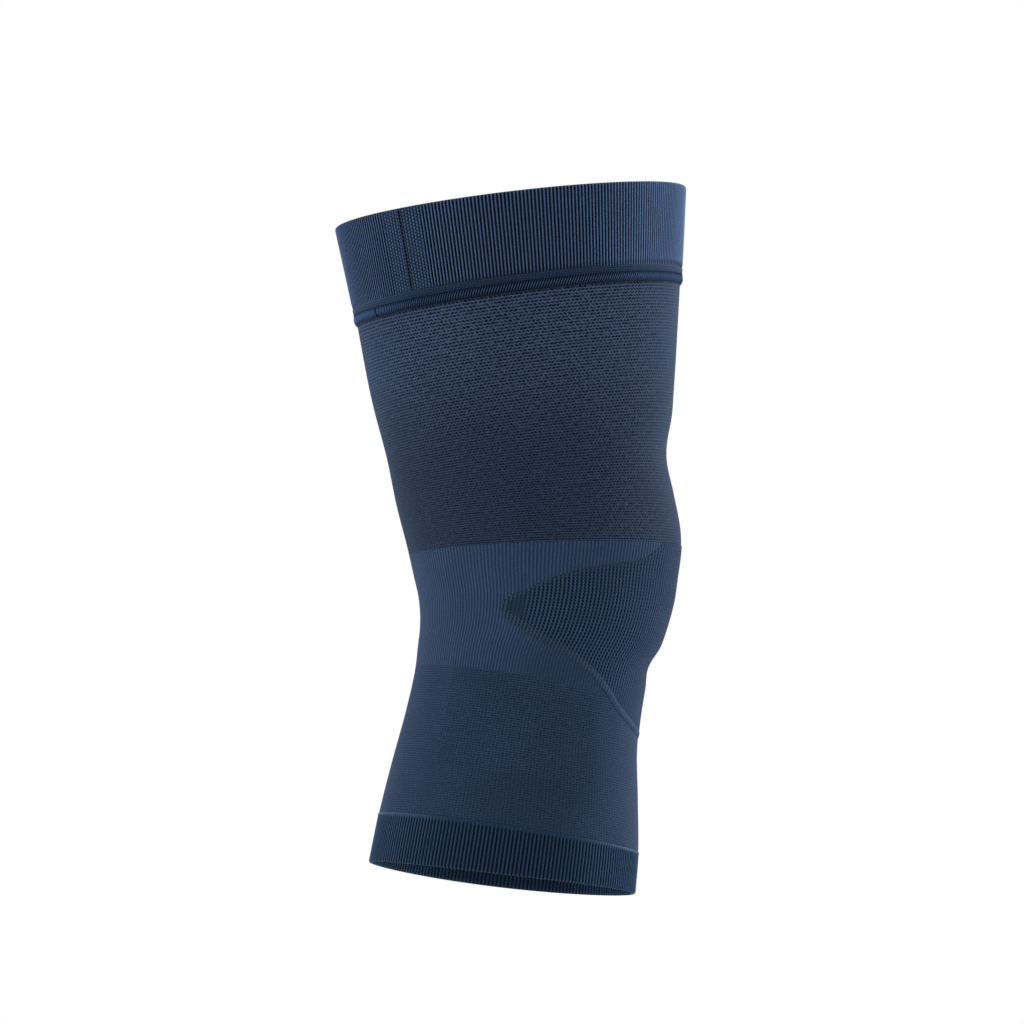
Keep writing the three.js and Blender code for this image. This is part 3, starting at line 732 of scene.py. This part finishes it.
# The stitches, and the bar that catches the seam's two ends. Reach is where each begins and ends, as
# shares of the seam's height, and a stitch's lean is a share of the distance to the next one.
STITCH_RADIUS = 0.27 * MM
STITCH_LIFT = 0.05 * MM
STITCH_REACH = (0.4, 0.95)
STITCH_LEAN = 0.8
STITCH_STEPS = 5
BAR_RADIUS = 0.4 * MM
BAR_LIFT = 0.1 * MM
BAR_REACH = (0.45, 1)
BAR_ANGLE = 150


def joining_seam(sizes, knits, colours):
    """The plain strip and the overlocked ridge under the cuff, with each stitch as a thread."""
    top = ABOVE_KNEE - sizes.cuff_height
    low = top - sizes.joining_height
    columns = round(around(top) / knits.fine_wale)
    downs, rises = zip(*JOINING_PROFILE)

    def rise_at(down):
        return np.interp(down, downs, rises) * sizes.joining_rise

    def place(share, down):
        angle = share * FULL_TURN
        lighter = lerp(1, 1.6, front_and_back(angle, *SEAM_EDGE_ON))
        return {
            "angle": angle,
            "height": lerp(top, low, down),
            "outer": rise_at(down),
            "inner": -sizes.wall,
            "u": share * columns,
            "v": down * sizes.joining_height / knits.fine_course,
            # Painted shade: the band from the groove down under the overlocked ridge is drawn nearly black
            # between the stitches
            "tone": lerp(0.8, 0.12, smooth_step(down, *JOINING_GROOVE)) * lighter,
        }

    # Each stitch leans over the ridge from the groove above it to the tube below it
    count = round(around(top) / knits.overlock)
    across = steps(STITCH_STEPS)[None, :]
    down = lerp(*STITCH_REACH, across)
    lean = STITCH_LEAN * knits.overlock / around(top) * FULL_TURN
    angle = (np.arange(count) * FULL_TURN / count)[:, None] + lerp(-lean, lean, across)
    # Painted highlight: the stitches are drawn lighter towards the front and back
    tone = lerp(1.3, 2.4, front_and_back(angle[:, 0], *SEAM_EDGE_ON))
    stitches = threads(angle, lerp(top, low, down), rise_at(down) + STITCH_LIFT, STITCH_RADIUS, tone)
    down = lerp(*BAR_REACH, across)
    bar = threads(BAR_ANGLE, lerp(top, low, down), rise_at(down) + BAR_LIFT, BAR_RADIUS, tone=0.15)
    band = wall(place, steps(JOINING_COLUMNS), np.array(downs), ring=True)
    # Textured overlock thread: matt, a little lighter than the knit that it holds
    thread = knit("overlock thread", plain_pattern, colours.seam, colours.fine_dark, depth=0.1, sheen=0.18)
    piece(SEAMS[0], [band, stitches, bar], thread, "cuff_joining_seam")


# The closing seam dips towards its dark middle, by shares of the cuff's rise. The reach of the threads
# that cross it is a share of its width, and their lift a share of the cuff's rise.
CLOSING_COLUMNS = 12
CLOSING_ROWS = 60
CLOSING_WALES = 2
CLOSING_DIP = (0.1, 0.9)
CLOSING_DARK = (0.6, 0.85)
CROSS_PITCH = 1.5 * MM
CROSS_RADIUS = 0.17 * MM
CROSS_SLANT = 0.35 * MM
CROSS_REACH = 0.42
CROSS_LIFT = 0.3
CROSS_SPOTS = 5


def closing_seam(sizes, colours):
    """The narrow dark seam that closes the cuff, with the threads that cross it."""
    low = ABOVE_KNEE - sizes.cuff_height
    half_seam = cuff_degrees(sizes.closing_width / 2)

    def place(share, down):
        outer, inner = cuff_faces(sizes, down)
        middle = np.sin(math.pi * share)
        return {
            "angle": CLOSING_SEAM_ANGLE + lerp(-half_seam, half_seam, share),
            "height": lerp(ABOVE_KNEE, low, down),
            "outer": outer - sizes.cuff_rise * lerp(*CLOSING_DIP, middle ** 4),
            "inner": inner,
            "u": share * CLOSING_WALES,
            "v": down * sizes.cuff_height / CUFF_LINK,
            "tone": lerp(1.6, 0.05, smooth_step(middle, *CLOSING_DARK)),
        }

    # Short cross threads, slanting by turns, draw the two ends of the cuff together
    count = round(sizes.cuff_height / CROSS_PITCH)
    number = np.arange(count)[:, None]
    across = np.linspace(-1, 1, CROSS_SPOTS)[None, :]
    slant = np.where(number % 2 == 0, CROSS_SLANT, -CROSS_SLANT)
    height = ABOVE_KNEE - (number + 0.6) * sizes.cuff_height / (count + 0.2) + across * slant
    angle = CLOSING_SEAM_ANGLE + across * cuff_degrees(sizes.closing_width * CROSS_REACH)
    cross = threads(angle, height, sizes.cuff_rise * CROSS_LIFT, CROSS_RADIUS, tone=1.5)
    band = wall(place, steps(CLOSING_COLUMNS), steps(CLOSING_ROWS))
    # Polyester thread, a shade greyer than the navy yarn
    thread = knit("closing thread", plain_pattern, colours.closing, colours.rib_groove, depth=0.1, sheen=0.1)
    piece(SEAMS[1], [band, cross], thread, "cuff_closing_seam")


# Tube

EDGE_STATIONS = 260
POINTS_PER_SPOT = 24
BORDER_TAPER = 0.08


class PatellaEdge:
    """The edge of the patella panel, laid out flat as lengths round the knee and heights."""

    def __init__(self):
        """Draws a smooth curve through the table's spots, at even lengths along it."""
        self.radius = FORM.value("width", 0.0) / 2
        spots = np.array([
            (math.radians(spot.angle * TIP_ANGLE) * self.radius, self.height_of(spot.height))
            for spot in PATELLA_EDGE
        ])
        padded = np.vstack([2 * spots[0] - spots[1], spots, 2 * spots[-1] - spots[-2]])
        way = np.linspace(0, 1, POINTS_PER_SPOT, endpoint=False)[:, None]
        curve = []
        for before, start, end, after in zip(padded[:-3], padded[1:-2], padded[2:-1], padded[3:]):
            leaving, arriving = (end - before) / 2, (after - start) / 2
            bend = 2 * start - 2 * end + leaving + arriving
            turn = -3 * start + 3 * end - 2 * leaving - arriving
            curve.append(bend * way ** 3 + turn * way ** 2 + leaving * way + start)
        curve = np.vstack([*curve, spots[-1:]])
        run = np.concatenate([[0], np.cumsum(np.linalg.norm(np.diff(curve, axis=0), axis=1))])
        self.share = steps(EDGE_STATIONS)
        self.points = np.stack([np.interp(self.share * run[-1], run, axis) for axis in curve.T], axis=-1)
        tangent = np.gradient(self.points, axis=0)
        tangent /= np.linalg.norm(tangent, axis=1, keepdims=True)
        self.normals = np.stack([tangent[:, 1], -tangent[:, 0]], axis=-1)
        self.normals[0], self.normals[-1] = (0, -1), (1, 0)
        self.tip = self.share[np.argmax(self.points[:, 0])]
        # The edge below the tips, and the height at which the knee zone's lower edge meets it
        rising = self.share <= self.tip
        self.lower = [values[rising] for values in self.line(0)]
        self.meeting = float(np.interp(KNEE_ZONE_FRONT_ANGLE, *self.lower))

    @staticmethod
    def height_of(share):
        """The height that a share in the table stands for."""
        if share <= 1:
            return lerp(PATELLA_BOTTOM, TIP_HEIGHT, share)
        return lerp(TIP_HEIGHT, KNEE_ZONE_TOP, share - 1)

    def line(self, outward):
        """Angles and heights of the edge moved outwards."""
        moved = self.points + self.normals * np.asarray(outward).reshape(-1, 1)
        return np.degrees(moved[:, 0] / self.radius), moved[:, 1]

    def width(self, sizes):
        """Width of the border: wide below, narrow above."""
        narrowed = smooth_step(self.share, self.tip - BORDER_TAPER, self.tip + BORDER_TAPER)
        return lerp(sizes.border_width, sizes.upper_border_width, narrowed)

    def knee_zone_bottom(self, angle):
        """The knee zone's lower edge is level round the back and runs down to the border in front."""
        level = smooth_step(np.abs(angle), KNEE_ZONE_FRONT_ANGLE, KNEE_ZONE_LEVEL_ANGLE)
        return lerp(self.meeting, KNEE_ZONE_BOTTOM, level)


def mesh_rows(height, top, bottom, first, last):
    """Rows of stitches counted down from the top, whose height changes evenly from first to last."""
    share = (top - height) / (top - bottom)
    return (top - bottom) / (last - first) * np.log((first + (last - first) * share) / first)


# Where the thigh panel's knit and its painted shade change: start and end of each change, as a length under
# the seam, a share of the panel's height, or degrees away from the front.
SEAM_SHADOW = (0.4 * MM, 1.2 * MM)
THIGH_SHADED = (0.15, 0.7)
THIGH_FRONT = (78, 52)
THIGH_OPEN = (10, 50)
THIGH_CLOSE = (130, 160)
THIGH_COLUMNS = 288
THIGH_ROWS = 96


def thigh_panel(sizes, knits, colours):
    """The mesh-knit zone between the cuff and the knee."""
    top = ABOVE_KNEE - sizes.cuff_height - sizes.joining_height
    middle = lerp(top, KNEE_ZONE_TOP, 0.5)
    wales = round(around(middle) / knits.mesh_wale)

    def place(share, down):
        angle = share * FULL_TURN
        height = lerp(top, KNEE_ZONE_TOP, down)
        aside = from_front(angle)
        open_knit = smooth_step(aside, *THIGH_OPEN) * lerp(1, 0.5, smooth_step(aside, *THIGH_CLOSE))
        # Painted shadow just under the joining seam's ridge
        clear_of_seam_shadow = smooth_step(top - height, *SEAM_SHADOW)
        # Low on the side the knit is darker, partly as closer knit and partly as painted shade, and it opens
        # again beside the kneecap
        shaded = smooth_step(down, *THIGH_SHADED)
        front = smooth_step(aside, *THIGH_FRONT)
        return {
            "angle": angle,
            "height": height,
            "outer": 0,
            "inner": -sizes.wall,
            "u": share * wales,
            "v": mesh_rows(height, top, KNEE_ZONE_TOP, knits.mesh_course_top, knits.mesh_course_low),
            "tone": lerp(1.1, lerp(0.72, 0.88, front), shaded) * lerp(0.35, 1, clear_of_seam_shadow),
            "contrast": lerp(1.5, lerp(0.9, 1.2, front), shaded) * lerp(0.3, 1, open_knit),
        }

    blocks = [wall(place, steps(THIGH_COLUMNS), steps(THIGH_ROWS), ring=True)]
    # Mesh knit: light tuck loops with a short float between them, drawn dark as painted shade
    mesh_knit = knit("mesh-knit nylon", mesh_pattern, colours.mesh_light, colours.mesh_dark,
                     depth=0.22, sheen=0.18)
    thigh = piece("thigh_knit", blocks, mesh_knit, "thigh_panel")
    around(middle)


# Where the knee panel's knit changes, in degrees away from the front or in shares of its height
KNEE_FRONT = (115, 80)
KNEE_BACK = (100, 150)
KNEE_LOW = (0.3, 0.95)
# Its ribs lean by one rib over this height, and are upright round the back
KNEE_LEAN = 15 * MM
KNEE_LEANING = (150, 70)
KNEE_COLUMNS = 220
# Stations of the kite's edge nearer than this to the panel's lower edge are left out
LEAST_HEIGHT = 0.05 * MM


def knee_panel(sizes, knits, colours, edge):
    """The fine-rib zone that wraps round the back of the knee, from one side of the kite to the other."""
    angles, heights = edge.line(0)
    shown = np.flatnonzero(heights > edge.knee_zone_bottom(angles) + LEAST_HEIGHT)
    front_angle = np.append(angles[shown][::-1], KNEE_ZONE_FRONT_ANGLE)
    front_height = np.append(heights[shown][::-1], edge.meeting)
    front_share = (front_height - KNEE_ZONE_TOP) / (edge.knee_zone_bottom(front_angle) - KNEE_ZONE_TOP)
    rows = len(front_angle) - 1
    ribs = round(KNEE_ROUND / knits.knee_rib)

    def place(share, down):
        row = np.round(down * rows).astype(int)
        behind = 1 - np.abs(2 * share - 1)
        angle = lerp(front_angle[row], HALF_TURN, behind)
        fall = lerp(front_share[row], down, smooth_step(behind, 0, 1))
        height = lerp(KNEE_ZONE_TOP, edge.knee_zone_bottom(angle), fall)
        side = np.where(share < 0.5, 1, -1)
        turned = np.where(share < 0.5, angle, FULL_TURN - angle)
        lean = side * height / KNEE_LEAN * smooth_step(angle, *KNEE_LEANING)
        front = smooth_step(angle, *KNEE_FRONT)
        return {
            "angle": turned,
            "height": height,
            "outer": 0,
            "inner": -sizes.wall,
            "u": turned / FULL_TURN * ribs + lean,
            "v": (KNEE_ZONE_TOP - height) / knits.fine_course,
            "tone": lerp(1, 0.82, front * smooth_step(fall, *KNEE_LOW)),
            "contrast": lerp(1.2, 1, smooth_step(angle, *KNEE_BACK)) * lerp(1, 0.5, front * fall),
        }

    blocks = [wall(place, steps(KNEE_COLUMNS), steps(rows))]
    # Fine rib knit, a little open, so its crests catch more light than the rest of the tube
    knee_knit = knit("fine-rib nylon", rib_pattern, colours.knee_light, colours.knee_dark,
                     depth=0.16, sheen=0.24)
    knee = piece("knee_knit", blocks, knee_knit, "knee_panel", weld=True)


# Where the shin panel's knit and painted shade change, in degrees away from the front or from its side, or
# as lengths under the knee zone. A denser block lies over the calf on both sides.
BLOCK_FRONT = (46, 52)
BLOCK_BACK = (133, 128)
BLOCK_LOW = (42.5 * MM, 41 * MM)
SHIN_SIDE_ANGLE = 85
SHIN_SIDE_SHADE = (42, 12)
MEETS_KNEE = (10 * MM, 0)
MEETS_KNEE_FRONT = (105, 75)
SHIN_ROUND_HEIGHT = -50 * MM
SHIN_COLUMNS = 300
SHIN_ROWS = 60


def shin_panel(sizes, knits, colours, edge):
    """The plain-knit zone under the knee, with a notch for the point of the kite."""
    low = HEM_EDGE + sizes.hem_height
    wales = round(around(SHIN_ROUND_HEIGHT) / knits.fine_wale)

    def place(share, down):
        angle = share * FULL_TURN
        aside = from_front(angle)
        notch, round_back = np.interp(aside, *edge.lower), edge.knee_zone_bottom(aside)
        top = np.where(aside <= KNEE_ZONE_FRONT_ANGLE, notch, round_back)
        height = lerp(top, low, down)
        dense = smooth_step(aside, *BLOCK_FRONT) * smooth_step(aside, *BLOCK_BACK)
        dense = dense * smooth_step(KNEE_ZONE_BOTTOM - height, *BLOCK_LOW)
        # Painted shade: the middle of the side is drawn darker
        side = smooth_step(np.abs(aside - SHIN_SIDE_ANGLE), *SHIN_SIDE_SHADE)
        meets_knee = smooth_step(top - height, *MEETS_KNEE) * smooth_step(aside, *MEETS_KNEE_FRONT)
        return {
            "angle": angle,
            "height": height,
            "outer": 0,
            "inner": -sizes.wall,
            "u": share * wales,
            "v": (KNEE_ZONE_TOP - height) / knits.fine_course,
            "tone": lerp(lerp(1.04, 0.86, side), 0.88, dense) * lerp(1, 1.1, meets_knee),
            "contrast": lerp(0.9, 1.4, dense),
        }

    blocks = [wall(place, steps(SHIN_COLUMNS), steps(SHIN_ROWS), ring=True)]
    # Plain knit in fine close rows, matt and even
    fine_knit = knit("plain-knit nylon", plain_pattern, colours.fine_light, colours.fine_dark,
                     depth=0.12, sheen=0.2)
    shin = piece("shin_knit", blocks, fine_knit, "shin_panel")
    flat = around((KNEE_ZONE_BOTTOM + low) / 2), KNEE_ZONE_BOTTOM - low


# Patella panel

# Its wales lean away from the front, by one wale over this height and more and more up to the second
# angle. They die out in the plain knit of the side tips and of the lowest point. Angles are in degrees
# away from the front.
PATELLA_LEAN = 12 * MM
PATELLA_LEANING = (0, 25)
WALES_END_SIDE = (101, 95)
WALES_END_LOW = (-42 * MM, -32 * MM)
PATELLA_FRONT = (24, 52)
PATELLA_SIDE = (60, 90)
PATELLA_RISE = 0.3 * MM
PATELLA_COLUMNS = 130
# The border lies over the panel's edge. Its lower half, whose crown is fuller, ends between two shares of
# the way from the lowest point to a side tip.
BORDER_OVERLAP = 0.2 * MM
BORDER_RISE = 0.15 * MM
BORDER_OUTSIDE = 0.15 * MM
BORDER_ROWS = 10
BORDER_LOWER = (0.75, 0.35)


def patella_stitches(angle, height, knits):
    """Column and row of the patella panel's knit, whose wales lean away from the front."""
    lean = np.sign(angle) * height / PATELLA_LEAN * smooth_step(np.abs(angle), *PATELLA_LEANING)
    return angle / FULL_TURN * KNEE_ROUND / knits.patella_rib + lean, height / knits.patella_course


def patella_panel(sizes, knits, colours, edge):
    """The open-rib kite over the kneecap, and the area of its flat knit."""
    inner_angle, inner_height = edge.line(-edge.width(sizes) + BORDER_OVERLAP)
    inner_angle = np.maximum(inner_angle, 0)
    rows = len(inner_angle) - 1

    def place(share, down):
        row = rows - np.round(down * rows).astype(int)
        angle = lerp(-inner_angle[row], inner_angle[row], share)
        height = inner_height[row]
        aside = np.abs(angle)
        column, course = patella_stitches(angle, height, knits)
        fade = smooth_step(aside, *WALES_END_SIDE) * smooth_step(height, *WALES_END_LOW)
        return {
            "angle": angle,
            "height": height,
            "outer": PATELLA_RISE,
            "inner": -sizes.wall,
            "u": column,
            "v": course,
            "tone": lerp(1, lerp(0.75, 1, fade), smooth_step(aside, *PATELLA_SIDE)),
            "contrast": lerp(0.35, 1, smooth_step(aside, *PATELLA_FRONT)) * lerp(0.3, 1, fade),
        }

    blocks = [wall(place, steps(PATELLA_COLUMNS), steps(rows))]
    # Open rib knit: raised wales, with eyelets painted dark as the shade of the inside
    open_knit = knit("open-rib nylon", eyelet_pattern, colours.patella_light, colours.patella_dark,
                     depth=0.4, sheen=0.15)
    panel = piece("patella_knit", blocks, open_knit, "patella_panel", weld=True)
    return panel, KNEE_ROUND * np.trapz(inner_angle / HALF_TURN, inner_height)


def patella_border(sizes, knits, colours, edge):
    """The raised border of the kite, from its top corner round the lowest point to the other one."""
    def whole(line):
        angle, height = line
        return np.concatenate([-angle[:0:-1], angle]), np.concatenate([height[:0:-1], height])

    outside, inside = whole(edge.line(BORDER_OUTSIDE)), whole(edge.line(-edge.width(sizes)))
    along = np.concatenate([edge.share[:0:-1], edge.share])
    last = len(along) - 1

    def place(share, down):
        index = np.round(share * last).astype(int)
        lower = smooth_step(along[index] / edge.tip, *BORDER_LOWER)
        middle = np.sin(math.pi * down)
        crown = middle ** lerp(0.7, 1.6, lower) * sizes.border_rise * lerp(0.25, 0.7, lower)
        angle = lerp(inside[0][index], outside[0][index], down)
        height = lerp(inside[1][index], outside[1][index], down)
        column, course = patella_stitches(angle, height, knits)
        return {
            "angle": angle,
            "height": height,
            "outer": BORDER_RISE + crown,
            "inner": -sizes.wall,
            "u": column,
            "v": course,
            # Painted highlight along the middle of the lower border's crown, and painted shade along its two
            # edges
            "tone": lerp(0.8, lerp(0.75, 1.3, middle), lower),
            "contrast": lerp(0.9, 0.35, lower) * lerp(1, 0.6, down),
        }

    blocks = [wall(place, steps(last), steps(BORDER_ROWS))]
    # Dense plain knit, raised where it is knitted double
    border_knit = knit("dense plain knit", eyelet_pattern, colours.border, colours.fine_dark,
                       depth=0.3, sheen=0.15)
    return piece("patella_border_knit", blocks, border_knit, "patella_border")


# Stage

FLOOR_HEIGHT = -0.55
FLOOR_SIZE = 16
Light = namedtuple("Light", "name place size watts")
LIGHTS = [
    Light("front side light", (0.95, -1.55, 0.95), 0.8, 19),
    Light("back side light", (-0.2, 2.0, 0.9), 1.2, 8),
    Light("top light", (-1.2, 0.1, 1.6), 1.0, 4),
]

# The photo's view: a long lens from the side, a little below the level of the knee
CAMERA_TARGET = Vector((-2.9, 15.4, 36.85)) * MM
CAMERA_DISTANCE = 6.0
CAMERA_ELEVATION = -4.5
CAMERA_LENS = 502
CAMERA_SENSOR = 36
CAMERA_REACH = 100


def floor_board(colours):
    """A pale matt floor."""
    bpy.ops.mesh.primitive_plane_add(size=FLOOR_SIZE, location=(0, 0, FLOOR_HEIGHT))
    floor = bpy.context.object
    floor.name = "floor"
    # Painted board: matt all over, so it takes a soft shade and no gleam
    material = bpy.data.materials.new("matt white board")
    material.use_nodes = True
    surface = material.node_tree.nodes["Principled BSDF"]
    surface.inputs["Base Color"].default_value = (*colours.floor, 1)
    surface.inputs["Roughness"].default_value = 0.9
    floor.data.materials.append(material)


def white_room(scene):
    """A white room that is dimmer behind the camera, so that light wraps round from the far side."""
    world = bpy.data.worlds.new("white room")
    world.use_nodes = True
    tree = world.node_tree
    tree.nodes.clear()
    direction = add(tree, "SeparateXYZ", [add(tree, "TexCoord").outputs["Generated"]])
    level = add(tree, "MapRange", [direction.outputs[0], -0.95, 0.3, 0.3, 1.0])
    room = add(tree, "Background", {"Color": (1, 1, 1, 1), "Strength": level})
    add(tree, "OutputWorld", [room])
    scene.world = world
    # White stays white and dark yarn stays dark, as in a plain product picture
    scene.view_settings.view_transform = "Standard"


def studio_lights(scene):
    """Soft area lights, all turned towards the knee."""
    for light in LIGHTS:
        data = bpy.data.lights.new(light.name, "AREA")
        data.energy, data.size = light.watts, light.size
        lamp = bpy.data.objects.new(light.name, data)
        scene.collection.objects.link(lamp)
        lamp.location = light.place
        lamp.rotation_euler = (-Vector(light.place)).to_track_quat("-Z", "Y").to_euler()


def photo_camera(scene):
    """The camera, turned so that the front of the knee is at the right of the picture."""
    tilt = math.radians(CAMERA_ELEVATION)
    right = Vector((0, -1, 0))
    up = Vector((math.sin(tilt), 0, math.cos(tilt)))
    back = Vector((-math.cos(tilt), 0, math.sin(tilt)))
    data = bpy.data.cameras.new("camera")
    data.lens, data.sensor_width, data.clip_end = CAMERA_LENS, CAMERA_SENSOR, CAMERA_REACH
    camera = bpy.data.objects.new("camera", data)
    scene.collection.objects.link(camera)
    turn = Matrix((right, up, back)).transposed().to_4x4()
    camera.matrix_world = Matrix.Translation(CAMERA_TARGET + back * CAMERA_DISTANCE) @ turn
    scene.camera = camera


# Operators

class OBJECT_OT_sleeve_seams(bpy.types.Operator):
    """Build the overlocked seam that joins cuff and tube, and the closing seam of the cuff"""

    bl_idname = "object.sleeve_seams"
    bl_label = "Build Seams"

    def execute(self, context):
        """Builds both seams with their threads."""
        sizes, knits, colours = settings(context)
        joining_seam(sizes, knits, colours)
        closing_seam(sizes, colours)
        return {"FINISHED"}


class OBJECT_OT_sleeve_cuffs(bpy.types.Operator):
    """Build the ribbed top cuff and the ribbed bottom cuff, after the seams"""

    bl_idname = "object.sleeve_cuffs"
    bl_label = "Build Cuffs"

    def execute(self, context):
        """Builds both cuffs with every rib as real relief."""
        top_cuff(*settings(context))
        bottom_cuff(*settings(context))
        return {"FINISHED"}


class OBJECT_OT_sleeve_tube(bpy.types.Operator):
    """Build the thigh, knee and shin panels of the tube"""

    bl_idname = "object.sleeve_tube"
    bl_label = "Build Tube"

    def execute(self, context):
        """Builds the three zones of the tube, each in its own knit."""
        edge = PatellaEdge()
        thigh_panel(*settings(context))
        knee_panel(*settings(context), edge)
        shin_panel(*settings(context), edge)
        return {"FINISHED"}


class OBJECT_OT_sleeve_patella(bpy.types.Operator):
    """Build the kite-shaped patella panel and the raised border round it"""

    bl_idname = "object.sleeve_patella"
    bl_label = "Build Patella Panel"

    def execute(self, context):
        """Builds the panel in open rib knit, and its border in dense plain knit."""
        edge = PatellaEdge()
        panel, area = patella_panel(*settings(context), edge)
        border = patella_border(*settings(context), edge)
        return {"FINISHED"}


class OBJECT_OT_sleeve_stage(bpy.types.Operator):
    """Build the pale floor, the soft studio light and the camera"""

    bl_idname = "object.sleeve_stage"
    bl_label = "Build Stage"

    def execute(self, context):
        """Builds everything that isn't part of the sleeve."""
        floor_board(context.scene.sleeve_colours)
        white_room(context.scene)
        studio_lights(context.scene)
        photo_camera(context.scene)
        return {"FINISHED"}


class VIEW3D_PT_knee_sleeve(bpy.types.Panel):
    """Sizes, knits and colours of the sleeve, with a button for each group of pieces."""

    bl_label = "Knee Sleeve"
    bl_space_type = "VIEW_3D"
    bl_region_type = "UI"
    bl_category = "Knee Sleeve"

    def draw(self, context):
        """Draws the settings above the buttons."""
        for group in settings(context):
            box = self.layout.box()
            for name in group.__annotations__:
                box.prop(group, name)
        for operator in OPERATORS:
            self.layout.operator(operator.bl_idname)


OPERATORS = (
    OBJECT_OT_sleeve_seams,
    OBJECT_OT_sleeve_cuffs,
    OBJECT_OT_sleeve_tube,
    OBJECT_OT_sleeve_patella,
    OBJECT_OT_sleeve_stage,
)
GROUPS = {"sleeve_sizes": SleeveSizes, "sleeve_knit": SleeveKnit, "sleeve_colours": SleeveColours}


def register():
    """Registers the settings, the operators and the panel."""
    for name, group in GROUPS.items():
        bpy.utils.register_class(group)
        setattr(bpy.types.Scene, name, bpy.props.PointerProperty(type=group))
    for item in (*OPERATORS, VIEW3D_PT_knee_sleeve):
        bpy.utils.register_class(item)


def unregister():
    """Takes away what register added."""
    for item in (VIEW3D_PT_knee_sleeve, *reversed(OPERATORS)):
        bpy.utils.unregister_class(item)
    for name, group in GROUPS.items():
        delattr(bpy.types.Scene, name)
        bpy.utils.unregister_class(group)


def main():
    """Builds the sleeve and the stage."""
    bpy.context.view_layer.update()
    register()
    bpy.ops.object.sleeve_seams()
    bpy.ops.object.sleeve_cuffs()
    bpy.ops.object.sleeve_tube()
    bpy.ops.object.sleeve_patella()
    bpy.ops.object.sleeve_stage()


if __name__ == "__main__":
    main()
